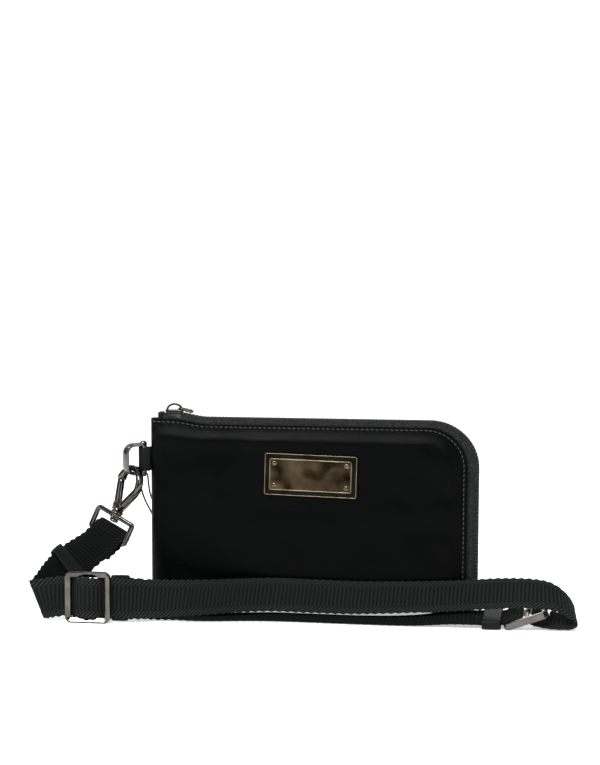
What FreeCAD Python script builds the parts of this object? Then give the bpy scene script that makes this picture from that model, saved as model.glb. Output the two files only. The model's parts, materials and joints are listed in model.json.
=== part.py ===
"""Zippered wristlet pouch with a webbing strap, as a parametric FreeCAD document.

Frame: X runs to the right along the pouch, Y runs from its front to its back, Z is up.
The origin is the centre of the pouch's flat bottom.  All sizes are millimetres.
"""
import math
import os

import FreeCAD
import Part
import Sketcher
from FreeCAD import Placement, Rotation, Vector

os.makedirs("parts", exist_ok=True)
doc = FreeCAD.newDocument("wristlet_pouch")
sheet = doc.addObject("Spreadsheet::Sheet", "dimensions")

DIMENSIONS = {
    # pouch shell
    "pouch_left": -105.5, "panel_right": 98.0, "panel_top": 120.5, "corner_radius": 27.0,
    "half_depth": 7.5, "panel_thick": 1.5, "lining_thick": 0.6, "shell_gap": 0.2,
    "lining_drop": 5.0, "gusset_thick": 1.5,
    "pocket_width": 160.0, "pocket_height": 66.0, "pocket_base": 8.0,
    # fold of the front: it leaves the left seam and ends on the bottom edge
    "fold_left_x": -103.0, "fold_left_z": 116.0, "fold_right_x": 85.5,
    "flap_left_x": -82.0, "flap_bottom_z": 30.0, "panel_gap": 0.5, "tape_gap": 1.3,
    # zip
    "tape_inner_rise": 2.3, "tape_outer_rise": 3.2, "side_extra": 2.6, "tape_edge_depth": 1.6,
    "tape_skirt_drop": 4.0, "tooth_pitch": 2.4, "tooth_length": 1.5, "tooth_width": 1.2,
    "tooth_inner_rise": 1.9, "tooth_outer_rise": 3.8, "zip_start_x": -98.0, "zip_end_z": 4.0,
    "end_tab_length": 5.0, "stop_length": 1.6, "stop_play": 0.1, "tooth_inner_y": 0.35,
    "skirt_play": 0.1, "skirt_thick": 0.7,
    "slider_x": -90.0, "slider_length": 11.5, "slider_width": 6.6, "slider_plate": 0.9,
    "slider_play": 0.3, "bridge_radius": 5.0, "bridge_wire": 0.75, "pull_length": 9.5,
    "pull_width": 3.6, "pull_thick": 1.0, "pull_arm": 0.8, "pull_slot": 5.6, "pull_crossbar": 1.0,
    "pull_lift": 0.2, "slider_corner": 1.6, "guide_post_thick": 0.5, "guide_post_length": 2.0,
    # name plate
    "plate_x": -1.3, "plate_z": 86.4, "plate_turn": 1.6, "frame_width": 58.6,
    "frame_height": 26.5, "frame_thick": 1.2, "plate_width": 52.4, "plate_height": 20.2,
    "plate_thick": 0.8, "rivet_span_x": 45.8, "rivet_span_z": 13.9, "rivet_head": 1.7,
    "rivet_rise": 0.7, "plate_play": 0.1,
    # D-ring and its leather tab
    "bar_x": -111.0, "ring_low_z": 84.8, "ring_high_z": 103.4, "ring_depth": 12.0,
    "ring_wire": 1.4, "ring_turn": 40.0, "ring_corner": 5.5, "tab_low_z": 86.4,
    "tab_high_z": 101.8, "tab_half": 2.8, "pin_play": 0.05,
    # snap hook, in its own frame: Z along its length, X across its face
    "hook_foot_x": -128.9, "hook_foot_y": -7.0, "hook_foot_z": 54.3, "hook_lean": 24.0,
    "hook_turn": -45.0, "eye_turn": -20.0, "hook_wire": 1.4, "hook_arc": 10.5,
    "hook_arc_z": 26.5, "neck_low": 5.8, "neck_high": 11.8, "stem_radius": 1.7,
    "head_radius": 2.8, "head_height": 1.8, "hub_low": 2.0, "hub_high": 5.6,
    "hub_radius": 3.4, "gate_pin_x": -2.6, "gate_pin_z": 9.6, "gate_pin_radius": 0.8,
    "gate_thick": 2.3, "gate_wide": 2.0, "gate_seat_radius": 1.75, "gate_seat_depth": 0.7,
    # rectangular eye below the hook
    "eye_width": 28.0, "eye_height": 14.0, "eye_wire": 1.5, "eye_bar_v": 3.8,
    # webbing and its slides
    "web_width": 25.0, "web_thick": 1.6, "slide_width": 28.5, "slide_height": 31.5,
    "slide_thick": 2.0, "slide_rim": 3.7, "slide_bar": 3.0, "slide_post": 1.2,
    "slide_tilt": 20.0,
    "leather_thick": 1.4, "leather_play": 1.1, "keeper_length": 11.0,
    # tag string
    "string_radius": 0.55,
}
for row, (alias, value) in enumerate(DIMENSIONS.items(), start=1):
    sheet.set(f"A{row}", alias)
    sheet.set(f"B{row}", str(value))
    sheet.setAlias(f"B{row}", alias)
doc.recompute()

nodes = []


def dim(alias):
    """A driving dimension, read back from the sheet."""
    return float(getattr(sheet, alias))


def keep(item, label):
    """Registers an object of the document as one sub-part."""
    item.Label = label
    nodes.append(item)
    return item


def shaped(label, shape, placement=None):
    """A sub-part whose shape is worked out from the sheet with Part's functions."""
    item = doc.addObject("Part::Feature", label)
    item.Shape = shape
    if placement is not None:
        item.Placement = placement
    return keep(item, label)


def bind(item, **formulas):
    """Binds properties of an object to formulas on the sheet's aliases."""
    for name, formula in formulas.items():
        item.setExpression(name, formula)
    return item


def cell(formula):
    """Turns aliases written as {alias} into references to the sheet."""
    return formula.replace("{", "<<dimensions>>.").replace("}", "")


sheet.Label = "dimensions"


def bound_box(label, length, width, height, low_x, low_y, low_z=None):
    """A box whose size and place are formulas on the sheet; without low_z it stands at zero."""
    item = doc.addObject("Part::Box", label)
    bind(item, Length=cell(length), Width=cell(width), Height=cell(height))
    item.setExpression(".Placement.Base.x", cell(low_x))
    item.setExpression(".Placement.Base.y", cell(low_y))
    if low_z is not None:
        item.setExpression(".Placement.Base.z", cell(low_z))
    return item


def sketch_rectangle(sketch, width, height):
    """Draws a rectangle centred on the sketch origin, sized by two formulas."""
    first = sketch.GeometryCount
    corners = [Vector(-1, -1, 0), Vector(1, -1, 0), Vector(1, 1, 0), Vector(-1, 1, 0)]
    for index, corner in enumerate(corners):
        sketch.addGeometry(Part.LineSegment(corner, corners[(index + 1) % 4]), False)
    for index in range(4):
        following = first + (index + 1) % 4
        sketch.addConstraint(Sketcher.Constraint("Coincident", first + index, 2, following, 1))
    for index in (0, 2):
        sketch.addConstraint(Sketcher.Constraint("Horizontal", first + index))
    for index in (1, 3):
        sketch.addConstraint(Sketcher.Constraint("Vertical", first + index))
    sketch.addConstraint(Sketcher.Constraint("Symmetric", first, 1, first + 2, 1, -1, 1))
    across = sketch.addConstraint(Sketcher.Constraint("DistanceX", first, 1, first, 2, 2.0))
    sketch.setExpression(f"Constraints[{across}]", cell(width))
    along = sketch.addConstraint(Sketcher.Constraint("DistanceY", first + 1, 1, first + 1, 2, 2.0))
    sketch.setExpression(f"Constraints[{along}]", cell(height))


def plate_body(label, width, height, thick, windows=(), edge=None):
    """A flat plate as a PartDesign body: a padded rectangle with optional window."""
    body = doc.addObject("PartDesign::Body", label)
    plane = next(item for item in body.Origin.OriginFeatures if item.Role == "XY_Plane")
    sketch = body.newObject("Sketcher::SketchObject", label + "_outline")
    sketch.AttachmentSupport = [(plane, "")]
    sketch.MapMode = "FlatFace"
    sketch_rectangle(sketch, width, height)
    for window_width, window_height in windows:
        sketch_rectangle(sketch, window_width, window_height)
    pad = body.newObject("PartDesign::Pad", label + "_pad")
    pad.Profile = sketch
    pad.setExpression("Length", cell(thick))
    doc.recompute()
    body.Tip = pad
    if edge is not None:
        upright = []
        for index, line in enumerate(pad.Shape.Edges, start=1):
            low, high = line.BoundBox.ZMin, line.BoundBox.ZMax
            if high - low > 0.5 * pad.Length.Value:
                upright.append(f"Edge{index}")
        rounding = body.newObject("PartDesign::Fillet", label + "_corners")
        rounding.Base = (pad, upright)
        rounding.setExpression("Radius", cell(edge))
        body.Tip = rounding
        doc.recompute()
    return body


# ---------------------------------------------------------------- pouch shell


def outline(rise=0.0, side=0.0, low=0.0, left=None):
    """Closed outline of a panel: square corners except the rounded one at top right."""
    left = dim("pouch_left") if left is None else left
    right = dim("panel_right") + side
    top = dim("panel_top") + rise
    radius = max(dim("corner_radius") + rise, 1.0)
    middle = Vector(right - radius, 0, top - radius)
    slant = radius * math.sqrt(0.5)
    corner = Part.Arc(Vector(right, 0, middle.z), middle + Vector(slant, 0, slant),
                      Vector(middle.x, 0, top))
    edges = [
        Part.LineSegment(Vector(left, 0, low), Vector(right, 0, low)).toShape(),
        Part.LineSegment(Vector(right, 0, low), Vector(right, 0, middle.z)).toShape(),
        corner.toShape(),
        Part.LineSegment(Vector(middle.x, 0, top), Vector(left, 0, top)).toShape(),
        Part.LineSegment(Vector(left, 0, top), Vector(left, 0, low)).toShape(),
    ]
    return Part.Face(Part.Wire(edges))


def sheet_between(face, near, far):
    """Extrudes a face drawn in the XZ plane between two depths."""
    moved = face.copy()
    moved.translate(Vector(0, near, 0))
    return moved.extrude(Vector(0, far - near, 0))


def fold_height(across):
    """Height of the fold line at a place across the pouch."""
    start, height = dim("fold_left_x"), dim("fold_left_z")
    return height * (dim("fold_right_x") - across) / (dim("fold_right_x") - start)


def flap_region(margin):
    """Prism that holds everything of the front that opens, drawn in by a margin."""
    left = dim("flap_left_x") + margin
    low = dim("flap_bottom_z") + margin
    far = dim("panel_right") + 60
    high = dim("panel_top") + 60
    slope = dim("fold_left_z") / (dim("fold_right_x") - dim("fold_left_x"))
    raised = margin * math.sqrt(1 + slope * slope)
    low_x = dim("fold_right_x") - (low - raised) / slope
    points = [Vector(left, -60, fold_height(left) + raised), Vector(low_x, -60, low),
              Vector(far, -60, low), Vector(far, -60, high), Vector(left, -60, high)]
    wire = Part.makePolygon(points + points[:1])
    return Part.Face(wire).extrude(Vector(0, 120, 0))


def split_front(shape, gap):
    """The part of a front piece that stays, and the part that opens."""
    stays = shape.cut(flap_region(0.0))
    opens = shape.common(flap_region(gap))
    return stays, opens


half = dim("half_depth")
skin = dim("panel_thick")
lining_front = half - skin - dim("shell_gap")
lining_back = lining_front - dim("lining_thick")
base = dim("gusset_thick") + dim("panel_gap")

shaped("back_panel", sheet_between(outline(), half - skin, half))
front_low, front_flap = split_front(sheet_between(outline(), -half, skin - half), dim("panel_gap"))
shaped("front_panel_lower", front_low)
shaped("front_panel_flap", front_flap)

lining_face = outline(-dim("lining_drop"), -dim("lining_drop"), base,
                      dim("pouch_left") + dim("gusset_thick") + dim("panel_gap"))
shaped("back_lining", sheet_between(lining_face, lining_back, lining_front))
lining_low, lining_flap = split_front(sheet_between(lining_face, -lining_front, -lining_back),
                                      dim("panel_gap"))
shaped("front_lining_lower", lining_low)
shaped("front_lining_flap", lining_flap)

inner_depth = "2 * ({half_depth} - {panel_thick} - {shell_gap})"
keep(bound_box("bottom_gusset", "{panel_right} - {pouch_left}", inner_depth, "{gusset_thick}",
               "{pouch_left}", "{panel_thick} + {shell_gap} - {half_depth}"), "bottom_gusset")
keep(bound_box("left_gusset", "{gusset_thick}", inner_depth,
               "{panel_top} - {gusset_thick} - {panel_gap}", "{pouch_left}",
               "{panel_thick} + {shell_gap} - {half_depth}", "{gusset_thick} + {panel_gap}"),
     "left_gusset")
keep(bound_box("slip_pocket", "{pocket_width}", "{lining_thick}", "{pocket_height}",
               "-{pocket_width} / 2",
               "{half_depth} - {panel_thick} - 2 * {shell_gap} - 2 * {lining_thick}",
               "{pocket_base}"), "slip_pocket")

# ---------------------------------------------------------------- zip


def zip_outline(rise):
    """Outline of the zip at a height above the panel's edge."""
    return outline(rise, rise + dim("side_extra"), dim("zip_end_z"), dim("zip_start_x"))


def zip_band(inner, outer, near, far):
    """Band along the top, the corner and the right side, between two rises."""
    band = sheet_between(zip_outline(outer), near, far)
    hollow = outline(inner, inner + dim("side_extra"), dim("zip_end_z") - 20,
                     dim("zip_start_x") - 20)
    return band.cut(sheet_between(hollow, near - 1, far + 1))


edge = dim("tape_edge_depth")
skirt_far = half - skin - dim("skirt_play")
skirt_near = skirt_far - dim("skirt_thick")
outer_rise = dim("tape_outer_rise")
crown = zip_band(dim("tape_inner_rise"), outer_rise, edge, skirt_far)
drop_face = zip_outline(outer_rise)
skirt = sheet_between(drop_face, skirt_near, skirt_far)
drop = dim("tape_skirt_drop")
hollow = outline(-drop, -drop, -50, dim("zip_start_x") - 20)
skirt = skirt.cut(sheet_between(hollow, skirt_near - 1, skirt_far + 1))
tape_back = crown.fuse(skirt).removeSplitter()
shaped("zip_tape_back", tape_back)
tape_front = tape_back.mirror(Vector(0, 0, 0), Vector(0, 1, 0))
tape_ends, tape_flap = split_front(tape_front, dim("tape_gap"))
shaped("zip_tape_front_ends", tape_ends)
shaped("zip_tape_front", tape_flap)


def zip_path():
    """Middle line of the teeth: along the top, round the corner and down the side."""
    rise = (dim("tooth_inner_rise") + dim("tooth_outer_rise")) / 2
    radius = dim("corner_radius") + rise
    top = dim("panel_top") + rise
    right = dim("panel_right") + dim("side_extra") + rise
    start = dim("zip_start_x") + dim("stop_length") + 1.0
    straight = right - radius - start
    turn = radius * math.pi / 2
    down = top - radius - dim("zip_end_z") - dim("stop_length") - 1.0

    def place(along):
        if along < straight:
            return Vector(start + along, 0, top), 0.0
        if along < straight + turn:
            angle = (along - straight) / radius
            centre = Vector(right - radius, 0, top - radius)
            return centre + Vector(math.sin(angle), 0, math.cos(angle)) * radius, angle
        return Vector(right, 0, top - radius - (along - straight - turn)), math.pi / 2

    return place, straight + turn + down


def teeth(side, offset):
    """Row of teeth on one tape; side is -1 at the front and +1 at the back."""
    place, total = zip_path()
    pitch = dim("tooth_pitch")
    tall = dim("tooth_outer_rise") - dim("tooth_inner_rise")
    inner = dim("tooth_inner_y")
    wide = dim("tape_edge_depth") - inner
    solids = []
    for index in range(int((total - offset) / pitch)):
        point, angle = place(offset + index * pitch)
        tooth = Part.makeBox(dim("tooth_length"), wide, tall)
        low_y = inner if side > 0 else -inner - wide
        tooth.translate(Vector(-dim("tooth_length") / 2, low_y, -tall / 2))
        tooth.rotate(Vector(0, 0, 0), Vector(0, 1, 0), math.degrees(angle))
        tooth.translate(point)
        solids.append(tooth)
    return solids


region = flap_region(dim("tape_gap"))
front_teeth = teeth(-1, dim("tooth_pitch") / 2)
ends, moving = [], []
for tooth in front_teeth:
    inside = region.common(tooth).Volume
    if inside > 0.999 * tooth.Volume:
        moving.append(tooth)
    elif flap_region(0.0).common(tooth).Volume < 0.001:
        ends.append(tooth)
shaped("zip_teeth_back", Part.makeCompound(teeth(1, 0.0)))
shaped("zip_teeth_front_ends", Part.makeCompound(ends))
shaped("zip_teeth_front", Part.makeCompound(moving))

tooth_top = dim("panel_top") + dim("tooth_outer_rise")
tooth_low = dim("panel_top") + dim("tooth_inner_rise")
stops = Part.makeBox(dim("stop_length"), 2 * edge - 0.2, tooth_top - tooth_low,
                     Vector(dim("zip_start_x"), dim("stop_play") - edge, tooth_low))
side_x = dim("panel_right") + dim("side_extra") + dim("tooth_inner_rise")
low_stop = Part.makeBox(tooth_top - tooth_low, 2 * edge - 0.2, dim("stop_length"),
                        Vector(side_x, dim("stop_play") - edge, dim("zip_end_z")))
shaped("zip_end_stops", Part.makeCompound([stops, low_stop]))
keep(bound_box("zip_end_tab", "{end_tab_length}", "{half_depth}", "{tape_outer_rise}",
               "{zip_start_x} - {end_tab_length} - {panel_gap}", "-{half_depth} / 2",
               "{panel_top} + {panel_gap}"), "zip_end_tab")


def slider_shape():
    """Two plates, lips and a guide post around the teeth, with an arched bridge on top."""
    long, wide, plate = dim("slider_length"), dim("slider_width"), dim("slider_plate")
    play = dim("slider_play")
    low = tooth_low - play
    high = tooth_top + play
    start = dim("slider_x") - long / 2
    top = Part.makeBox(long, wide, plate, Vector(start, -wide / 2, high))
    bottom = Part.makeBox(long, wide, plate, Vector(start, -wide / 2, low - plate))
    post_long, post_thick = dim("guide_post_length"), dim("guide_post_thick")
    post = Part.makeBox(post_long, post_thick, high - low + plate,
                        Vector(start, -post_thick / 2, low - plate / 2))
    body = top.fuse([bottom, post])
    upright = [line for line in body.Edges if line.BoundBox.ZLength > 0.8 * plate
               and line.BoundBox.XLength < 0.01 and line.BoundBox.YLength < 0.01
               and abs(abs(line.BoundBox.YMin) - wide / 2) < 0.01]
    body = body.makeFillet(dim("slider_corner"), upright)
    radius, wire = dim("bridge_radius"), dim("bridge_wire")
    ring = Part.makeTorus(radius, wire)
    ring.rotate(Vector(0, 0, 0), Vector(1, 0, 0), 90)
    ring.translate(Vector(dim("slider_x"), 0, high + plate - 1.2))
    cap = Part.makeBox(40, 20, 20, Vector(dim("slider_x") - 20, -10, high + plate / 2))
    return body.fuse(ring.common(cap))


shaped("slider_body", slider_shape())

bridge_top = tooth_top + dim("slider_play") + dim("slider_plate")
pull_y, pull_thick, crossbar = dim("pull_width"), dim("pull_thick"), dim("pull_crossbar")
pull_x = dim("slider_x") + 3.0
pull = Part.makeBox(dim("pull_length"), pull_y, pull_thick,
                    Vector(pull_x - crossbar / 2, -pull_y / 2, bridge_top + dim("pull_lift")))
slot_wide = pull_y - 2 * dim("pull_arm")
slot = Part.makeBox(dim("pull_slot") - crossbar / 2, slot_wide, 4.0,
                    Vector(pull_x + crossbar / 2, -slot_wide / 2, bridge_top - 1))
pull = pull.cut(slot)
pull_end = pull_x - crossbar / 2 + dim("pull_length")
tip = [line for line in pull.Edges if line.BoundBox.ZLength > 0.9 * pull_thick
       and line.BoundBox.XMin > pull_end - 0.1 and line.BoundBox.XLength < 0.01]
shaped("slider_pull", pull.makeFillet(1.2, tip))

# ---------------------------------------------------------------- name plate

plate_turn = Rotation(Vector(0, 1, 0), dim("plate_turn")) * Rotation(Vector(1, 0, 0), 90)


def on_front(depth):
    """Placement of a piece drawn flat, laid on the front at a depth, facing forward."""
    return Placement(Vector(dim("plate_x"), -depth, dim("plate_z")), plate_turn)


frame = plate_body("nameplate_frame", "{frame_width}", "{frame_height}", "{frame_thick}",
                   edge="{frame_thick}")
frame.Placement = on_front(half + dim("plate_play") / 2)
keep(frame, "nameplate_frame")
plate = plate_body("nameplate", "{plate_width}", "{plate_height}", "{plate_thick}",
                   edge="{plate_thick}")
plate.Placement = on_front(half + dim("plate_play") + dim("frame_thick"))
keep(plate, "nameplate")

rivets = []
rivet_face = half + 1.5 * dim("plate_play") + dim("frame_thick") + dim("plate_thick")
for across in (-0.5, 0.5):
    for along in (-0.5, 0.5):
        head = Part.makeCone(dim("rivet_head"), 0.6 * dim("rivet_head"), dim("rivet_rise"),
                             Vector(across * dim("rivet_span_x"), along * dim("rivet_span_z"), 0))
        rivets.append(head)
shaped("nameplate_rivets", Part.makeCompound(rivets), on_front(rivet_face))

# ---------------------------------------------------------------- D-ring and tab

play = dim("pin_play")
tab_long = dim("pouch_left") - dim("bar_x")
tab_tall = dim("tab_high_z") - dim("tab_low_z")
tab = Part.makeCylinder(dim("tab_half"), tab_tall, Vector(dim("bar_x"), 0, dim("tab_low_z")))
tab = tab.fuse(Part.makeBox(tab_long - 0.3, 2 * dim("tab_half"), tab_tall,
                            Vector(dim("bar_x"), -dim("tab_half"), dim("tab_low_z"))))
tab = tab.cut(Part.makeCylinder(dim("ring_wire") + play, 40, Vector(dim("bar_x"), 0, 70)))
shaped("ring_tab", tab.removeSplitter())


def round_wire(edges, radius):
    """Round bar of a given radius along a path of lines and arcs."""
    path = Part.Wire(edges)
    start = edges[0].valueAt(edges[0].FirstParameter)
    ahead = edges[0].tangentAt(edges[0].FirstParameter)
    profile = Part.Wire([Part.makeCircle(radius, start, ahead)])
    return path.makePipeShell([profile], True, True, 2)


def rounded_path(points, radii, closed=False):
    """Lines joined by tangent arcs: one radius for each point that turns."""
    count = len(points)
    turning = range(count) if closed else range(1, count - 1)
    cuts, edges = {}, []
    for index in turning:
        here = points[index]
        back = (points[index - 1] - here).normalize()
        ahead = (points[(index + 1) % count] - here).normalize()
        half_turn = (math.pi - back.getAngle(ahead)) / 2
        reach = radii[index] * math.tan(half_turn)
        middle = (back + ahead).normalize() * (radii[index] / math.cos(half_turn) - radii[index])
        cuts[index] = (here + back * reach, here + middle, here + ahead * reach)
    last = None if closed else points[0]
    if closed:
        last = cuts[count - 1][2]
    for index in turning:
        start, middle, end = cuts[index]
        if (start - last).Length > 1e-6:
            edges.append(Part.LineSegment(last, start).toShape())
        edges.append(Part.Arc(start, middle, end).toShape())
        last = end
    if not closed:
        edges.append(Part.LineSegment(last, points[-1]).toShape())
    return edges


def d_ring_shape():
    """Upright bar through the tab and a bow whose lower and upper ends are rounded."""
    low, high, deep = dim("ring_low_z"), dim("ring_high_z"), dim("ring_depth")
    middle = (low + high) / 2
    points = [Vector(0, 0, middle), Vector(0, 0, high), Vector(-deep, 0, high),
              Vector(-deep, 0, low), Vector(0, 0, low)]
    small, large = 1.9, dim("ring_corner")
    edges = rounded_path(points, [small, small, large, large, small], closed=False)
    edges.pop()
    corner = rounded_path([Vector(-deep / 2, 0, low), Vector(0, 0, low), Vector(0, 0, middle)],
                          [0, small, 0])
    edges.append(Part.LineSegment(edges[-1].valueAt(edges[-1].LastParameter),
                                  corner[1].valueAt(corner[1].FirstParameter)).toShape())
    edges += corner[1:]
    return round_wire(edges, dim("ring_wire"))


shaped("d_ring", d_ring_shape(),
       Placement(Vector(dim("bar_x"), 0, 0), Rotation(Vector(0, 0, 1), dim("ring_turn"))))

# ---------------------------------------------------------------- snap hook

lean = math.radians(dim("hook_lean"))
hook_axis = Vector(math.sin(lean), 0, math.cos(lean))
level = Vector(math.cos(lean), 0, -math.sin(lean))
hook_foot = Vector(dim("hook_foot_x"), dim("hook_foot_y"), dim("hook_foot_z"))


def turned_frame(turn):
    """Frame at the hook's foot: Z along the hook, X across it, turned about its length."""
    angle = math.radians(turn)
    across = level * math.cos(angle) + Vector(0, 1, 0) * math.sin(angle)
    return Placement(hook_foot, Rotation(across, hook_axis.cross(across), hook_axis, "ZXY"))


hook_frame = turned_frame(dim("hook_turn"))
eye_frame = turned_frame(dim("eye_turn"))
arc, arc_z, wire = dim("hook_arc"), dim("hook_arc_z"), dim("hook_wire")
neck_low, neck_high = dim("neck_low"), dim("neck_high")


def arc_point(angle):
    """Point of the hook's bow; 0 degrees is its top, positive towards the spine."""
    radians = math.radians(angle)
    return Vector(arc * math.sin(radians), 0, arc_z + arc * math.cos(radians))


def hook_shape():
    """Spine, bow and tip in one bar, on a neck with a slot for the gate and a stem."""
    foot = Vector(1.4, 0, neck_low + 3.0)
    lean_in = math.atan2(arc, arc_z - foot.z) * 0.28
    join = 90 + math.degrees(lean_in)
    spine = Part.LineSegment(foot, arc_point(join)).toShape()
    bow = Part.Arc(arc_point(join), arc_point(10), arc_point(-84)).toShape()
    bar = round_wire([spine], wire).fuse(round_wire([bow], wire))
    bar = bar.fuse(Part.makeSphere(wire, arc_point(join)))
    neck = Part.makeCone(3.0, 2.4, neck_high - neck_low, Vector(0, 0, neck_low))
    cheeks = Part.makeBox(7.6, 4.6, 5.2, Vector(-5.0, -2.3, neck_low + 1.2))
    cheeks = cheeks.makeFillet(1.0, [line for line in cheeks.Edges if line.Length > 4.55])
    stem = Part.makeCylinder(dim("stem_radius"), neck_low, Vector(0, 0, 0))
    head = Part.makeCylinder(dim("head_radius"), dim("head_height"))
    collar = Part.makeCylinder(3.5, 1.1, Vector(0, 0, neck_low))
    solid = bar.fuse([neck, cheeks, stem, head, collar])
    slot = Part.makeBox(8.4, dim("gate_thick") + 0.5, 12,
                        Vector(-8.0, -(dim("gate_thick") + 0.5) / 2, neck_low + 1.6))
    bore = Part.makeCylinder(dim("gate_pin_radius") + 0.02, 8, gate_pin_at() - Vector(0, 4, 0),
                             Vector(0, 1, 0))
    return solid.cut(slot).cut(bore)


def gate_pin_at():
    """Centre of the gate's pin in the hook's frame."""
    return Vector(dim("gate_pin_x"), 0, dim("gate_pin_z"))


def gate_shape():
    """Flat gate from its pin to just under the tip of the bow."""
    pin = gate_pin_at()
    tip = arc_point(-84) + Vector(0.1, 0, -wire - 0.9)
    run = tip - pin
    thick, wide = dim("gate_thick"), dim("gate_wide")
    leaf = Part.makeBox(wide, thick, run.Length, Vector(-wide / 2, -thick / 2, 0))
    leaf.rotate(Vector(0, 0, 0), Vector(0, 1, 0), math.degrees(math.atan2(run.x, run.z)))
    leaf.translate(pin)
    knuckle = Part.makeCylinder(1.7, thick, pin - Vector(0, thick / 2, 0), Vector(0, 1, 0))
    solid = leaf.fuse(knuckle)
    deep = dim("gate_seat_depth")
    seat = Part.makeCylinder(dim("gate_seat_radius"), deep, pin + Vector(0, thick / 2 - deep, 0),
                             Vector(0, 1, 0))
    bore = Part.makeCylinder(dim("gate_pin_radius") + play, 8, pin - Vector(0, 4, 0),
                             Vector(0, 1, 0))
    return solid.cut(seat).cut(bore)


shaped("hook_body", hook_shape(), hook_frame)
shaped("hook_gate", gate_shape(), hook_frame)
pin_start = gate_pin_at() - Vector(0, 2.3, 0)
shaped("gate_pin", Part.makeCylinder(dim("gate_pin_radius"), 4.6, pin_start, Vector(0, 1, 0)),
       hook_frame)
coil_start = gate_pin_at() + Vector(0, dim("gate_thick") / 2 - 0.55, 0)
coil = Part.makeCylinder(1.35, 0.5, coil_start, Vector(0, 1, 0))
coil = coil.cut(Part.makeCylinder(dim("gate_pin_radius") + 0.1, 2, coil_start - Vector(0, 0.5, 0),
                                  Vector(0, 1, 0)))
shaped("gate_spring", coil, hook_frame)


def eye_shape():
    """Rectangular ring with a round hub in its upper bar for the hook's stem."""
    across, tall, radius = dim("eye_width") / 2, dim("eye_height"), dim("eye_wire")
    high = dim("eye_bar_v")
    corners = [Vector(-across, 0, high), Vector(across, 0, high),
               Vector(across, 0, high - tall), Vector(-across, 0, high - tall)]
    solid = Part.makeSphere(radius, corners[-1])
    for index, corner in enumerate(corners):
        following = corners[(index + 1) % 4]
        solid = solid.fuse(Part.makeCylinder(radius, (following - corner).Length, corner,
                                             following - corner))
        solid = solid.fuse(Part.makeSphere(radius, corner))
    hub_tall = dim("hub_high") - dim("hub_low")
    solid = solid.fuse(Part.makeCylinder(dim("hub_radius"), hub_tall, Vector(0, 0, dim("hub_low"))))
    bore = Part.makeCylinder(dim("stem_radius") + play, 12, Vector(0, 0, -2))
    return solid.cut(bore)


shaped("webbing_eye", eye_shape(), eye_frame)

# ---------------------------------------------------------------- webbing


def strip(stations, thick, trim=0.0):
    """Flat webbing through stations, each a pair of points on its two edges."""
    sections = []
    for index, (low, high) in enumerate(stations):
        before = stations[max(index - 1, 0)]
        after = stations[min(index + 1, len(stations) - 1)]
        ahead = (after[0] + after[1]) - (before[0] + before[1])
        across = (high - low).normalize()
        normal = across.cross(ahead).normalize() * (thick / 2)
        inner_low, inner_high = low + across * trim, high - across * trim
        corners = [inner_low - normal, inner_high - normal, inner_high + normal,
                   inner_low + normal]
        sections.append(Part.makePolygon(corners + corners[:1]))
    return Part.makeLoft(sections, True, True)


def station(across, low_y, low_z, high_y, high_z):
    """Edge pair of a run that goes along X."""
    return Vector(across, low_y, low_z), Vector(across, high_y, high_z)


web, thick = dim("web_width"), dim("web_thick")
eye_drop = dim("eye_bar_v") - dim("eye_height")
eye_low = eye_frame.multVec(Vector(0, 0, eye_drop))
eye_across = eye_frame.Rotation.multVec(Vector(1, 0, 0))
fold_top = Vector(-168.3, -60.0, 24.6)
fold_foot = Vector(-159.4, -60.0, 1.6)
fold_middle = (fold_top + fold_foot) * 0.5
fold_across = (fold_foot - fold_top).normalize()


def tail_station(share, lift=0.0):
    """Edge pair of the tail between the eye and the fold; share runs from 0 to 1."""
    middle = eye_low * (1 - share) + fold_middle * share
    across = (eye_across * (1 - share) + fold_across * share).normalize()
    ahead = (fold_middle - eye_low).normalize()
    side = across.cross(ahead).normalize()
    middle = middle + side * lift
    return middle - across * (web / 2), middle + across * (web / 2)


tail_bow = 3.0
tail_shares = [0.035, 0.1, 0.2, 0.35, 0.5, 0.65, 0.8, 0.9, 0.965]
tail = [tail_station(share, tail_bow * math.sin(math.pi * share)) for share in tail_shares]
tail_solid = strip(tail, thick)
loop_outer = Part.makeCylinder(dim("eye_wire") + 0.3 + thick, web, eye_low - eye_across * (web / 2),
                               eye_across)
loop_hole = Part.makeCylinder(dim("eye_wire") + 0.3, web + 4, eye_low - eye_across * (web / 2 + 2),
                              eye_across)
tail_solid = tail_solid.fuse(loop_outer).cut(loop_hole)
shaped("strap_tail", tail_solid)


def sleeve(stations, inner_play):
    """Leather band round the webbing, open at both ends."""
    leather = dim("leather_thick")
    outer = strip(stations, thick + 2 * (inner_play + leather), -(inner_play + leather))
    ahead = (stations[-1][0] + stations[-1][1] - stations[0][0] - stations[0][1]).normalize()
    longer = [(low - ahead * (0.5 if index == 0 else -0.5 if index == len(stations) - 1 else 0),
               high - ahead * (0.5 if index == 0 else -0.5 if index == len(stations) - 1 else 0))
              for index, (low, high) in enumerate(stations)]
    inner = strip(longer, thick + 2 * inner_play, -inner_play)
    return outer.cut(inner)


keeper_shares = [0.43, 0.57]
tail_keeper = [tail_station(share, tail_bow * math.sin(math.pi * share))
               for share in keeper_shares]
shaped("tail_keeper", sleeve(tail_keeper, dim("leather_play")))

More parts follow.
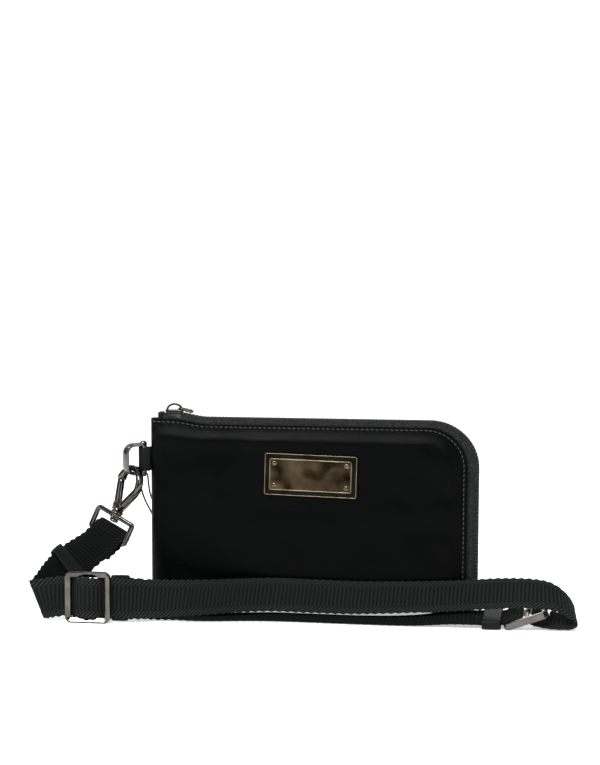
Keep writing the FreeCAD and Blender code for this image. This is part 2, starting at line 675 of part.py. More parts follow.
slide_y = -64.2
front_run = [
    (fold_top + Vector(1.2, -2.2, 0), fold_foot + Vector(1.2, -2.2, 0.2)),
    (Vector(-153.0, -61.4, 27.4), Vector(-152.0, -61.4, 2.6)),
    (Vector(-145.5, -60.8, 28.1), Vector(-145.5, -60.8, 3.5)),
    (Vector(-140.8, -61.0, 28.1), Vector(-140.8, -61.0, 3.5)),
    (Vector(-134.6, -66.6, 28.1), Vector(-134.6, -66.6, 3.5)),
    (Vector(-127.4, -66.6, 28.1), Vector(-127.4, -66.6, 3.5)),
    (Vector(-121.2, -61.0, 28.1), Vector(-121.2, -61.0, 3.5)),
    (Vector(-117.0, -60.4, 27.9), Vector(-117.0, -60.8, 3.3)),
    (Vector(-108.0, -55.0, 26.2), Vector(-108.0, -60.0, 2.6)),
    (Vector(-97.0, -47.0, 24.6), Vector(-97.0, -57.8, 3.0)),
    (Vector(-80.0, -37.4, 23.4), Vector(-80.0, -51.2, 3.2)),
    (Vector(-63.0, -28.0, 22.2), Vector(-63.0, -44.0, 3.4)),
    (Vector(-43.0, -18.0, 21.8), Vector(-43.0, -34.8, 3.6)),
    (Vector(-23.0, -11.0, 21.6), Vector(-23.0, -28.6, 3.8)),
    (Vector(4.0, -10.4, 21.2), Vector(4.0, -28.0, 3.6)),
    (Vector(31.0, -10.4, 20.6), Vector(31.0, -28.8, 3.8)),
    (Vector(68.0, -10.6, 22.4), Vector(68.0, -30.6, 7.4)),
    (Vector(94.0, -11.4, 23.6), Vector(94.0, -31.8, 9.6)),
    (Vector(118.0, -14.0, 26.4), Vector(118.0, -34.4, 12.0)),
    (Vector(138.0, -18.2, 27.4), Vector(138.0, -39.0, 14.0)),
    (Vector(150.0, -20.6, 25.0), Vector(151.5, -42.0, 13.6)),
    (Vector(158.5, -21.0, 19.4), Vector(159.5, -43.6, 9.6)),
    (Vector(162.6, -20.6, 12.4), Vector(162.8, -44.4, 5.8)),
    (Vector(161.6, -20.4, 6.0), Vector(161.0, -45.0, 2.2)),
    (Vector(157.0, -20.4, 2.8), Vector(156.0, -45.2, 1.0)),
    (Vector(149.0, -20.6, 2.0), Vector(148.5, -45.4, 1.6)),
    (Vector(142.5, -20.8, 3.0), Vector(142.0, -45.6, 3.0)),
    (Vector(138.4, -20.8, 4.0), Vector(138.2, -45.6, 4.0)),
]
shaped("strap_front_run", strip(front_run, thick))

under_run = [
    (Vector(-127.4, -59.2, 26.4), Vector(-127.4, -59.2, 1.6)),
    (Vector(-118.0, -56.4, 27.0), Vector(-118.0, -57.0, 2.2)),
    (Vector(-108.0, -50.0, 26.0), Vector(-108.0, -55.2, 2.0)),
    (Vector(-97.0, -41.2, 23.0), Vector(-97.0, -53.0, 1.2)),
    (Vector(-80.0, -31.0, 13.0), Vector(-80.0, -52.8, 1.0)),
    (Vector(-61.0, -26.8, 1.6), Vector(-61.0, -51.8, 0.9)),
    (Vector(-21.0, -20.0, 0.9), Vector(-21.0, -45.0, 0.9)),
    (Vector(34.0, -21.0, 0.9), Vector(34.0, -46.0, 0.9)),
    (Vector(66.0, -21.0, 1.0), Vector(66.0, -46.0, 1.0)),
    (Vector(90.0, -20.8, 3.4), Vector(90.0, -45.8, 3.4)),
    (Vector(121.5, -21.0, 3.5), Vector(121.5, -46.0, 3.5)),
    (Vector(125.0, -19.5, 4.6), Vector(125.0, -43.9, 4.6)),
    (Vector(129.0, -19.5, 6.2), Vector(129.0, -43.9, 6.2)),
    (Vector(133.4, -19.5, 6.6), Vector(133.4, -43.9, 6.6)),
]
shaped("strap_under_run", strip(under_run, thick))

cover = under_run[1:3]
shaped("bar_cover", sleeve(cover, 0.25))

under_keeper = [
    (Vector(109.0, -21.0, 3.7), Vector(109.0, -46.0, 3.7)),
    (Vector(120.6, -21.0, 3.7), Vector(120.6, -46.0, 3.7)),
]
shaped("under_keeper", sleeve(under_keeper, dim("leather_play")))


def slide_pair(name, placement):
    """Rectangular frame and its centre post, drawn flat and then placed."""
    rim = plate_body(name + "_frame", "{slide_width}", "{slide_height}", "{slide_thick}",
                     windows=[("{slide_width} - 2 * {slide_rim}",
                               "{slide_height} - 2 * {slide_bar}")])
    rim.Placement = placement
    keep(rim, name + "_frame")
    tall = dim("slide_height") - 2 * dim("slide_bar")
    post = Part.makeCylinder(dim("slide_post"), tall - 0.1, Vector(0, 0.05 - tall / 2, 1.0),
                             Vector(0, 1, 0))
    shaped(name + "_post", post, placement)


slide_pair("left_slide", Placement(Vector(-131.0, slide_y + 1.0, 15.85),
                                   Rotation(Vector(1, 0, 0), 90)))
slide_lift = Rotation(Vector(0, 1, 0), -dim("slide_tilt"))
slide_pair("right_slide", Placement(Vector(136.2, -31.7, 5.0), slide_lift))

# ---------------------------------------------------------------- tag string

STRING_ROUTE = [
    (-111.6, -3.7, 87.4), (-111.0, -5.0, 81.8), (-111.4, -4.0, 75.2), (-110.0, 1.4, 66.6),
    (-108.2, 7.4, 60.2),
    (-106.0, 10.6, 53.4), (-103.2, 11.6, 43.6), (-99.6, 11.2, 35.2), (-94.2, 11.0, 31.4),
    (-90.4, 11.4, 36.6), (-93.6, 11.8, 45.4), (-99.4, 11.4, 53.4), (-104.6, 10.6, 61.0),
    (-107.6, 6.4, 68.6), (-108.4, 4.2, 76.6), (-109.0, 4.0, 84.2),
]


def string_path():
    """Straight runs joined by tangent arcs as large as the two runs allow."""
    points = [Vector(*point) for point in STRING_ROUTE]
    radii = [0.0] * len(points)
    for index in range(1, len(points) - 1):
        back = points[index - 1] - points[index]
        ahead = points[index + 1] - points[index]
        half_turn = (math.pi - back.getAngle(ahead)) / 2
        radii[index] = 0.45 * min(back.Length, ahead.Length) / math.tan(half_turn)
    print("tag string radii:", [round(radius, 1) for radius in radii[1:-1]])
    return rounded_path(points, radii)


string_edges = string_path()
string_length = sum(piece.Length for piece in string_edges)
string = round_wire(string_edges, dim("string_radius"))
string_section = math.pi * dim("string_radius") ** 2
print("tag string length", round(string_length, 1), "volume ratio",
      round(string.Volume / (string_section * string_length), 4))
shaped("tag_string", string)

# ---------------------------------------------------------------- checks and files

doc.recompute()
for item in doc.Objects:
    if "Invalid" in item.State or "Error" in item.State:
        raise RuntimeError(f"{item.Label} failed: {item.State}")
for item in nodes:
    shape = item.Shape
    if shape.isNull() or not shape.isValid() or not shape.Solids:
        raise RuntimeError(f"{item.Label} has no valid solid")
    print(f"{item.Label:24s} {len(shape.Solids):4d} solids {shape.Volume:10.1f} mm3")
for item in nodes:
    item.Shape.exportStep(f"parts/{item.Label}.step")
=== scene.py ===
import json
import math
import bmesh
import bpy
from mathutils import Matrix, Vector, noise


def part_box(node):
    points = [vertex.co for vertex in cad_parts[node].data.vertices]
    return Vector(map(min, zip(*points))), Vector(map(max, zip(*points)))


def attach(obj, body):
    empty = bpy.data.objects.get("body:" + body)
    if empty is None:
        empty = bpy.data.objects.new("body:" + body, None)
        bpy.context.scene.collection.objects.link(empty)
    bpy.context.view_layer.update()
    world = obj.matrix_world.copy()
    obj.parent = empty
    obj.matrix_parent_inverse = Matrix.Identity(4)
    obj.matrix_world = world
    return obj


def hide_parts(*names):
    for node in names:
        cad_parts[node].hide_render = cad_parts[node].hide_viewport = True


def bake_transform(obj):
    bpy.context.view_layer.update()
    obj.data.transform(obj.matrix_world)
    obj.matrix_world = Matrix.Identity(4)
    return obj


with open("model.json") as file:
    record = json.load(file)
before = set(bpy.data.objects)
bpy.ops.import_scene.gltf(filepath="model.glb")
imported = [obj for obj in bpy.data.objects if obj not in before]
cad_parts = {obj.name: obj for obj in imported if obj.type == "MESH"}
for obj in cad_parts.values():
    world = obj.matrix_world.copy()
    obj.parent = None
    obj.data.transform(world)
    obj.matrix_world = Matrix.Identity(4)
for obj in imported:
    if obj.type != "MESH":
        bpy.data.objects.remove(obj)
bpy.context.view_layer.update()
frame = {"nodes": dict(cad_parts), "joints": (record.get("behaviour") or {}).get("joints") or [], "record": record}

MM = 0.001


def box_mm(node):
    """Low and high corner of a CAD node in millimetres."""
    low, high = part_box(node)
    return low / MM, high / MM


def joint_named(name):
    return next(joint for joint in frame["joints"] if joint["name"] == name)


def placed(name, data):
    """A new object in the scene."""
    made = bpy.data.objects.new(name, data)
    bpy.context.scene.collection.objects.link(made)
    return made


def declare(piece, slot, body, *nodes):
    """Says which CAD nodes a piece replaces and the body it rides on. The material slot is not used.

    With no body its placement is baked into its mesh, and it is not attached to any body.
    """
    if nodes:
        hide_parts(*nodes)
    if body is None:
        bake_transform(piece)
    else:
        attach(piece, body)


# ------------------------------------------------------------------ camera

camera_data = bpy.data.cameras.new("camera")
camera_data.lens = 96.35
camera_data.sensor_width = 36.0
camera_data.clip_end = 20.0
camera = placed("camera", camera_data)
camera.location = Vector((191.5, -1268.2, 256.6)) * MM
camera_target = Vector((-11.05, 10.94, 143.3)) * MM
camera.rotation_euler = (camera_target - camera.location).to_track_quat("-Z", "Y").to_euler()
bpy.context.scene.camera = camera

# ------------------------------------------------------------------ materials


class Graph:
    """A material's node tree, with short ways to add and join nodes."""

    def __init__(self, name, **inputs):
        self.material = bpy.data.materials.new(name)
        self.material.use_nodes = True
        self.tree = self.material.node_tree
        self.shader = self.tree.nodes["Principled BSDF"]
        for key, value in inputs.items():
            self.shader.inputs[key.replace("_", " ")].default_value = value

    def node(self, kind, **inputs):
        made = self.tree.nodes.new(kind)
        for key, value in inputs.items():
            self.feed(made.inputs[key.replace("_", " ")], value)
        return made

    def feed(self, socket, value):
        if isinstance(value, bpy.types.NodeSocket):
            self.tree.links.new(value, socket)
        else:
            socket.default_value = value

    def math(self, operation, *values):
        made = self.tree.nodes.new("ShaderNodeMath")
        made.operation = operation
        for index, value in enumerate(values):
            self.feed(made.inputs[index], value)
        return made.outputs[0]

    def ramp(self, fac, low, high, start=0.0, end=1.0):
        made = self.tree.nodes.new("ShaderNodeMapRange")
        self.feed(made.inputs["Value"], fac)
        for key, value in (("From Min", start), ("From Max", end), ("To Min", low), ("To Max", high)):
            made.inputs[key].default_value = value
        return made.outputs["Result"]

    def mix(self, fac, first, second):
        made = self.tree.nodes.new("ShaderNodeMix")
        made.data_type = "RGBA"
        self.feed(made.inputs["Factor"], fac)
        self.feed(made.inputs[6], first)
        self.feed(made.inputs[7], second)
        return made.outputs[2]

    def place(self):
        return self.tree.nodes.new("ShaderNodeTexCoord").outputs["Object"]

    def strap_place(self):
        """Distance along and across a strap, in millimetres."""
        found = self.tree.nodes.new("ShaderNodeUVMap")
        found.uv_map = "strap"
        apart = self.node("ShaderNodeSeparateXYZ", Vector=found.outputs[0])
        return apart.outputs[0], apart.outputs[1]

    def noise(self, scale, detail=3.0, vector=None):
        made = self.node("ShaderNodeTexNoise", Scale=scale, Detail=detail,
                         Vector=vector or self.place())
        return made.outputs[0]

    def stripes(self, along, pitch, across=None, slant=0.0):
        """Sine stripes from 0 to 1 with a pitch, leaning by a slant of the second coordinate."""
        angle = self.math("MULTIPLY", along, 2 * math.pi / pitch)
        if across is not None:
            angle = self.math("MULTIPLY_ADD", across, 2 * math.pi * slant / pitch, angle)
        return self.math("MULTIPLY_ADD", self.math("SINE", angle), 0.5, 0.5)

    def color(self, value):
        self.feed(self.shader.inputs["Base Color"], value)

    def rough(self, value):
        self.feed(self.shader.inputs["Roughness"], value)

    def bump(self, height, strength, distance):
        made = self.node("ShaderNodeBump", Height=height)
        made.inputs["Strength"].default_value = strength
        made.inputs["Distance"].default_value = distance
        previous = self.shader.inputs["Normal"].links
        if previous:
            self.tree.links.new(previous[0].from_socket, made.inputs["Normal"])
        self.feed(self.shader.inputs["Normal"], made.outputs[0])


def grey(value):
    return (value, value, value, 1.0)


def weave(graph, pitch):
    """Plain weave in object space: threads over and under along X and Z."""
    apart = graph.node("ShaderNodeSeparateXYZ", Vector=graph.place())
    warp = graph.stripes(apart.outputs[0], pitch)
    weft = graph.stripes(apart.outputs[2], pitch)
    return graph.math("MULTIPLY", warp, weft)


def nylon_material():
    graph = Graph("shell_nylon", Sheen_Weight=0.003, Sheen_Roughness=0.3, Specular_IOR_Level=0.042)
    broad = graph.noise(22.0, 4.0)
    fine = graph.noise(900.0, 2.0)
    tone = graph.math("MULTIPLY_ADD", fine, 0.35, graph.math("MULTIPLY", broad, 0.65))
    graph.color(graph.mix(tone, (0.0001, 0.0002, 0.0002, 1), (0.0008, 0.0011, 0.0010, 1)))
    graph.rough(graph.ramp(broad, 0.28, 0.42, 0.3, 0.7))
    graph.bump(weave(graph, 0.0005), 0.35, 0.00012)
    graph.bump(graph.noise(120.0, 4.0), 0.25, 0.0006)
    return graph.material


def lining_material():
    graph = Graph("lining_cloth", Sheen_Weight=0.1, Specular_IOR_Level=0.3)
    graph.color(graph.mix(weave(graph, 0.0009), grey(0.008), grey(0.03)))
    graph.rough(graph.ramp(graph.noise(60.0), 0.6, 0.8))
    graph.bump(weave(graph, 0.0009), 0.5, 0.0002)
    return graph.material


def tape_material():
    graph = Graph("zip_tape", Sheen_Weight=0.04, Sheen_Roughness=0.4, Specular_IOR_Level=0.08)
    along, across = graph.strap_place()
    rows = graph.stripes(along, 0.9, across, 0.8)
    grain = graph.ramp(graph.noise(650.0, 3.0), 0.0, 1.0, 0.36, 0.64)
    tone = graph.math("MULTIPLY_ADD", grain, 0.7, graph.math("MULTIPLY", rows, 0.3))
    graph.color(graph.mix(tone, (0.002, 0.0022, 0.0022, 1), (0.024, 0.025, 0.0255, 1)))
    graph.rough(graph.ramp(grain, 0.55, 0.75))
    graph.bump(rows, 0.6, 0.00025)
    return graph.material


def teeth_material():
    graph = Graph("zip_teeth", Specular_IOR_Level=0.15)
    graph.color(graph.mix(graph.noise(500.0), grey(0.010), grey(0.035)))
    graph.rough(graph.ramp(graph.noise(300.0), 0.3, 0.5))
    return graph.material


def webbing_material(name, light):
    """Cross ribs of beaded yarn in the middle, slanted floats along both edges."""
    graph = Graph(name, Sheen_Weight=0.01, Sheen_Roughness=0.45, Specular_IOR_Level=0.03)
    along, across = graph.strap_place()
    rib = graph.stripes(along, RIB_PITCH)
    zigzag = graph.math("PINGPONG", along, RIB_PITCH / 2)
    bead = graph.stripes(graph.math("MULTIPLY_ADD", zigzag, 0.9, across), 1.25)
    body = graph.math("MULTIPLY", graph.ramp(rib, 0.15, 1.0), graph.math("POWER", bead, 2.2))
    from_edge = graph.math("SUBTRACT", WEB_WIDTH / 2, graph.math("ABSOLUTE",
                           graph.math("SUBTRACT", across, WEB_WIDTH / 2)))
    floats = graph.math("POWER", graph.stripes(along, RIB_PITCH, across, 1.0), 1.8)
    floats = graph.math("MULTIPLY", floats, 0.62)
    edge = graph.ramp(from_edge, 1.0, 0.0, EDGE_BAND - 0.4, EDGE_BAND + 0.2)
    pattern = graph.math("ADD", graph.math("MULTIPLY", edge, floats),
                         graph.math("MULTIPLY", graph.math("SUBTRACT", 1.0, edge), body))
    fibre = graph.noise(1500.0, 2.0)
    tone = graph.math("MULTIPLY_ADD", fibre, 0.12, graph.math("MULTIPLY", pattern, 0.9))
    lift = graph.math("MULTIPLY_ADD", edge, 0.04, tone)
    graph.color(graph.mix(lift, (0.0001, 0.0002, 0.0002, 1), light))
    graph.rough(graph.ramp(pattern, 0.7, 0.46))
    graph.bump(pattern, 0.9, 0.0004)
    graph.bump(fibre, 0.3, 0.0001)
    return graph.material


def leather_material():
    graph = Graph("leather", Specular_IOR_Level=0.08, Coat_Weight=0.012, Coat_Roughness=0.3)
    cells = graph.node("ShaderNodeTexVoronoi", Scale=1500.0, Vector=graph.place())
    cells.feature = "DISTANCE_TO_EDGE"
    broad = graph.noise(140.0, 4.0)
    graph.color(graph.mix(broad, (0.0022, 0.0026, 0.0027, 1), (0.0075, 0.0085, 0.0088, 1)))
    graph.rough(graph.ramp(broad, 0.36, 0.56))
    graph.bump(cells.outputs["Distance"], 0.5, 0.00012)
    graph.bump(broad, 0.3, 0.0003)
    return graph.material


def metal_material(name, dark, light, rough_low, rough_high, tone_scale=120.0, wave=0.0):
    """Polished plate with darker and lighter noise patches in its colour, which are painted reflection, fine
    scratches and, if asked, a slow waviness.
    """
    graph = Graph(name, Metallic=1.0)
    # Darker and lighter noise patches in the metal's colour: painted reflection. The same mask also varies the
    # roughness.
    painted_reflection = graph.ramp(graph.noise(tone_scale, 4.0), 0.0, 1.0, 0.34, 0.66)
    if wave:
        graph.bump(graph.noise(42.0, 1.0), 1.0, wave)
    graph.color(graph.mix(painted_reflection, dark, light))
    stretched = graph.node("ShaderNodeMapping", Vector=graph.place(), Scale=(200, 200, 3000))
    scratch = graph.noise(1.0, 2.0, stretched.outputs[0])
    graph.rough(graph.ramp(graph.math("MULTIPLY", painted_reflection, scratch), rough_low, rough_high, 0.1, 0.4))
    graph.bump(scratch, 0.08, 0.00003)
    return graph.material


def thread_material():
    graph = Graph("stitch_thread", Sheen_Weight=0.1)
    twist = graph.noise(2600.0, 1.0)
    graph.color(graph.mix(twist, (0.018, 0.018, 0.022, 1), (0.062, 0.062, 0.076, 1)))
    graph.rough(graph.ramp(twist, 0.45, 0.65))
    return graph.material


def string_material():
    graph = Graph("string", Sheen_Weight=0.01, Specular_IOR_Level=0.1)
    twist = graph.noise(2200.0, 2.0)
    graph.color(graph.mix(twist, grey(0.001), grey(0.006)))
    graph.rough(graph.ramp(twist, 0.6, 0.8))
    graph.bump(twist, 0.6, 0.0002)
    return graph.material


WEB_WIDTH, WEB_THICK, RIB_PITCH, EDGE_BAND = 25.0, 1.7, 2.5, 4.2

NYLON = nylon_material()
LINING = lining_material()
TAPE = tape_material()
TEETH = teeth_material()
WEBBING = webbing_material("webbing", (0.036, 0.039, 0.039, 1))
# The under run and the tail lie in the shade of the rest, and take a darker copy of the webbing: painted shade.
SHADE_PAINTED_WEBBING = webbing_material("shade_painted_webbing", (0.014, 0.0155, 0.0155, 1))
LEATHER = leather_material()
GUNMETAL = metal_material("gunmetal", (0.078, 0.071, 0.063, 1), (0.128, 0.118, 0.107, 1), 0.07, 0.18)
DARKMETAL = metal_material("dark_gunmetal", (0.003, 0.003, 0.0026, 1), (0.009, 0.0085, 0.007, 1), 0.10, 0.22)
SMOKED = metal_material("smoked_metal", (0.025, 0.022, 0.018, 1), (0.085, 0.078, 0.066, 1), 0.12, 0.25)
GOLD = metal_material("pale_gold", (0.085, 0.065, 0.038, 1), (0.19, 0.152, 0.096, 1), 0.12, 0.24)
# The plate's colour runs from near black to gold in broad noise patches: painted reflection.
PLATE_GOLD = metal_material("plate_gold", (0.010, 0.0072, 0.0034, 1), (0.062, 0.045, 0.025, 1), 0.10, 0.2,
                            tone_scale=52.0, wave=0.004)
THREAD = thread_material()
STRING = string_material()

SLOT_MATERIALS = {
    "shell_nylon": NYLON, "lining_cloth": LINING, "zip_tape": TAPE, "zip_teeth": TEETH,
    "leather": LEATHER, "gunmetal": GUNMETAL, "pale_gold": GOLD, "webbing": WEBBING,
    "string": STRING,
}

# ------------------------------------------------------------------ mesh helpers


def mesh_piece(name, points, faces, material, strap_uv=None):
    """An object from points in millimetres, with optional strap coordinates per point."""
    mesh = bpy.data.meshes.new(name)
    mesh.from_pydata([Vector(point) * MM for point in points], [], faces)
    mesh.materials.append(material)
    mesh.polygons.foreach_set("use_smooth", [True] * len(mesh.polygons))
    if strap_uv is not None:
        layer = mesh.uv_layers.new(name="strap")
        for loop in mesh.loops:
            layer.data[loop.index].uv = strap_uv[loop.vertex_index]
    mesh.update()
    return placed(name, mesh)


def face_outward(piece):
    """Turns the faces of a closed piece outward."""
    shape = bmesh.new()
    shape.from_mesh(piece.data)
    bmesh.ops.recalc_face_normals(shape, faces=shape.faces)
    shape.to_mesh(piece.data)
    shape.free()
    return piece


def add_modifier(piece, kind, **settings):
    modifier = piece.modifiers.new(kind.lower(), kind)
    for key, value in settings.items():
        setattr(modifier, key, value)
    return modifier


def apply_modifiers(piece):
    """Bakes the modifiers of a piece into its mesh."""
    bpy.context.view_layer.update()
    shaped = piece.evaluated_get(bpy.context.evaluated_depsgraph_get())
    mesh = bpy.data.meshes.new_from_object(shaped)
    piece.modifiers.clear()
    old = piece.data
    piece.data = mesh
    bpy.data.meshes.remove(old)


def thickened(piece, thickness):
    """Gives a sheet its thickness, inward from the modelled face."""
    add_modifier(piece, "SOLIDIFY", thickness=thickness * MM, offset=-1.0)
    apply_modifiers(piece)
    return piece


def softened(piece):
    """One applied step of subdivision."""
    add_modifier(piece, "SUBSURF", levels=1, render_levels=1)
    apply_modifiers(piece)
    return piece


def shifted(faces, base):
    """Faces that count their points from a base."""
    return [tuple(base + corner for corner in face) for face in faces]


def grid_faces(columns, rows, turned=False):
    """Quads of a grid of points laid column after column."""
    faces = []
    tall = rows + 1
    for column in range(columns):
        for row in range(rows):
            start = column * tall + row
            face = (start, start + tall, start + tall + 1, start + 1)
            faces.append(tuple(reversed(face)) if turned else face)
    return faces


def ring_faces(rings, count, closed_rings=False, cap=False):
    """Quads between rings of points laid one after another."""
    faces = []
    last = rings if closed_rings else rings - 1
    for ring in range(last):
        ahead = (ring + 1) % rings
        for index in range(count):
            following = (index + 1) % count
            faces.append((ring * count + index, ring * count + following,
                          ahead * count + following, ahead * count + index))
    if cap:
        faces.append(tuple(reversed(range(count))))
        faces.append(tuple((rings - 1) * count + index for index in range(count)))
    return faces


def rounded_profile(wide, tall, corner, steps=4):
    """Closed rounded rectangle as (across, up) pairs."""
    points = []
    for turn, (sign_x, sign_y) in enumerate(((1, 1), (-1, 1), (-1, -1), (1, -1))):
        for step in range(steps + 1):
            angle = (turn + step / steps) * math.pi / 2
            points.append((sign_x * (wide / 2 - corner) + corner * math.cos(angle),
                           sign_y * (tall / 2 - corner) + corner * math.sin(angle)))
    return points


def swept(name, path, profile, normal, material, closed=False):
    """Sweeps a profile along a flat path; normal is the path plane's normal."""
    points = []
    count = len(path)
    for index, point in enumerate(path):
        if closed:
            ahead = path[(index + 1) % count] - path[index - 1]
        else:
            ahead = path[min(index + 1, count - 1)] - path[max(index - 1, 0)]
        side = ahead.normalized().cross(normal).normalized()
        points += [point + side * across + normal * up for across, up in profile]
    faces = ring_faces(count, len(profile), closed, not closed)
    return face_outward(mesh_piece(name, points, faces, material))


BEVEL_WIDTH, BEVEL_ANGLE = 0.2, math.radians(24)


def crisp(piece):
    """Flat facets with narrow bevelled edges."""
    for polygon in piece.data.polygons:
        polygon.use_smooth = False
    add_modifier(piece, "BEVEL", width=BEVEL_WIDTH * MM, segments=2, limit_method="ANGLE",
                 angle_limit=BEVEL_ANGLE)
    apply_modifiers(piece)
    return piece


def lathe(name, outline, material, around=32):
    """Turned piece about local Z from (radius, height) pairs, closed at both ends."""
    points = []
    for radius, height in outline:
        for step in range(around):
            angle = 2 * math.pi * step / around
            points.append(Vector((radius * math.cos(angle), radius * math.sin(angle), height)))
    faces = ring_faces(len(outline), around, cap=True)
    return face_outward(mesh_piece(name, points, faces, material))


def bar_along(name, stations, material):
    """Bar through (place, across, half width, half depth) stations with soft square sections."""
    points = []
    for place, across, wide, deep in stations:
        for x, y in rounded_profile(2, 2, 0.62, 4):
            points.append(place + across * (x * wide) + Vector((0, y * deep, 0)))
    faces = ring_faces(len(stations), 20, cap=True)
    return face_outward(mesh_piece(name, points, faces, material))


def joined(name, *parts):
    """One object from several pieces of the same material."""
    shape = bmesh.new()
    for part in parts:
        shape.from_mesh(part.data)
    mesh = bpy.data.meshes.new(name)
    shape.to_mesh(mesh)
    shape.free()
    mesh.materials.append(parts[0].data.materials[0])
    for part in parts:
        bpy.data.objects.remove(part)
    return placed(name, mesh)


def rounded_loop(wide, tall, corner, steps=8):
    """Closed rounded rectangle in the XZ plane as vectors, corners only."""
    return [Vector((across, 0, up)) for across, up in rounded_profile(wide, tall, corner, steps)]


# ------------------------------------------------------------------ pouch cloth

shell_low, shell_high = box_mm("back_panel")
LEFT, RIGHT, TOP = shell_low.x, shell_high.x, shell_high.z
CORNER = 27.0
CENTRE_X, CENTRE_Z = RIGHT - CORNER, TOP - CORNER
HALF_DEPTH, DEEPEST = 7.35, 9.3
plate_low, plate_high = box_mm("nameplate_frame")
PLATE = (plate_low + plate_high) / 2


def rim_distance(across, up):
    """Distance from the top, rounded corner and right side of a panel."""
    if across > CENTRE_X and up > CENTRE_Z:
        return max(CORNER - math.hypot(across - CENTRE_X, up - CENTRE_Z), 0.0)
    return max(min(TOP - up, RIGHT - across), 0.0)


def rounding(distance, width):
    """Quarter-ellipse rise from 0 to 1 over a width."""
    share = min(max(distance / width, 0.0), 1.0)
    return math.sqrt(1 - (1 - share) ** 2)


def smooth_step(value):
    """Eased step from 0 to 1."""
    value = min(max(value, 0.0), 1.0)
    return value * value * (3 - 2 * value)


SAG, SAG_START_X, SAG_WIDTH = 2.9, -92, 24
PULL_IN, PULL_IN_LOW, PULL_START_X, PULL_WIDTH = 1.1, 0.7, 55, 45
STITCH_INSET, ROLL_INSET, RIPPLE_INSET = 2.1, 12, 5.0
LEFT_ROUND, BOTTOM_ROUND, THIN_EDGE = 10.0, 7.0, 0.03
CALM_X, CALM_Z = 38, 22


def settle(point):
    """The empty pouch hangs a little below its full outline, except at the slider."""
    drop = SAG * smooth_step((point.x - SAG_START_X) / SAG_WIDTH) * max(point.z / TOP, 0.0) ** 3
    inward = PULL_IN + PULL_IN_LOW * (1 - point.z / TOP)
    inward *= smooth_step((point.x - PULL_START_X) / PULL_WIDTH)
    return Vector((point.x - inward, point.y, point.z - drop))


def cloth_depth(across, up, seed, side):
    """How far the cloth stands from the pouch's middle plane."""
    rim = rim_distance(across, up)
    left = THIN_EDGE + (1 - THIN_EDGE) * rounding(across - LEFT, LEFT_ROUND)
    bottom = THIN_EDGE + (1 - THIN_EDGE) * rounding(up, BOTTOM_ROUND)
    edge = 0.60 + 0.40 * smooth_step((rim - 2.6) / 9.5)
    depth = HALF_DEPTH * left * bottom * edge
    inside = smooth_step(rim / 14) * smooth_step((across - LEFT) / 12) * smooth_step(up / 12)
    place = Vector((across * 0.022 + seed, up * 0.036, seed))
    broad = noise.noise(place) * 1.5
    crease = noise.noise(Vector((across * 0.05 + up * 0.035, up * 0.06, seed + 7))) * 0.8
    roll = 0.55 * noise.noise(Vector((across * 0.045 + seed, 3.0, seed))) + 0.25
    depth += roll * math.exp(-((rim - ROLL_INSET) / 5.0) ** 2) * smooth_step((across - LEFT) / 12)
    calm = 1.0
    if side < 0:
        reach = max(abs(across - PLATE.x) / CALM_X, abs(up - PLATE.z) / CALM_Z)
        calm = smooth_step((reach - 0.8) / 0.7)
        broad -= 0.25 * (1 - calm)
    puff = 0.55 * math.exp(-((across + 5) / 75) ** 2 - ((up - 42) / 26) ** 2)
    depth += (broad * (0.25 + 0.75 * calm) + crease * calm + puff * calm) * inside * 0.8
    pucker = math.exp(-((rim - STITCH_INSET) / 0.75) ** 2)
    wave = 0.10 * math.sin((across + up) * 2 * math.pi / 6.2)
    depth -= pucker * 0.38
    depth += math.exp(-((rim - RIPPLE_INSET) / 2.5) ** 2) * wave
    return min(depth, DEEPEST)


def spread(start, end, count, crowd=0.45):
    """Places between two ends, closer together near both."""
    places = []
    for index in range(count + 1):
        share = index / count
        eased = (1 - crowd) * share + crowd * (0.5 - 0.5 * math.cos(math.pi * share))
        places.append(start + (end - start) * eased)
    return places


CORNER_STEPS, CLOTH_THICK = 22, 0.8


def cloth_grid(name, side, seed, inset=0.0, material=NYLON, columns=110, rows=84):
    """One face of the pouch as a grid that follows the panel's outline."""
    left, top, right, low = LEFT + inset, TOP - inset, RIGHT - inset, inset * 0.8
    radius = CORNER - inset
    middle = right - radius
    stations = [(across, top) for across in spread(left, middle, columns)]
    for step in range(1, CORNER_STEPS + 1):
        angle = math.pi / 2 * step / CORNER_STEPS
        stations.append((middle + radius * math.sin(angle),
                         top - radius + radius * math.cos(angle)))
    points = []
    shares = spread(0.0, 1.0, rows, 0.55)
    for across, height in stations:
        for share in shares:
            up = low + (height - low) * share
            depth = cloth_depth(across, up, seed, side) - inset * 0.35
            points.append(settle(Vector((across, side * depth, up))))
    faces = grid_faces(len(stations) - 1, rows, side > 0)
    return thickened(mesh_piece(name, points, faces, material), CLOTH_THICK)


def rim_path(inset, low):
    """Path along the top, corner and right side at an inset, as a function of length."""
    radius = CORNER - inset
    straight = CENTRE_X - LEFT
    turn = radius * math.pi / 2
    down = CENTRE_Z - low

    def place(along):
        if along < straight:
            return Vector((LEFT + along, 0, TOP - inset)), 0.0
        if along < straight + turn:
            angle = (along - straight) / radius
            return Vector((CENTRE_X + radius * math.sin(angle), 0,
                           CENTRE_Z + radius * math.cos(angle))), angle
        return Vector((RIGHT - inset, 0, CENTRE_Z - (along - straight - turn))), math.pi / 2

    return place, straight + turn + down


STITCH_PITCH, STITCH_LENGTH, STITCH_LEAN = 3.1, 2.3, 0.12
ROW_MARGIN, ROW_LOW = 3, 4.0


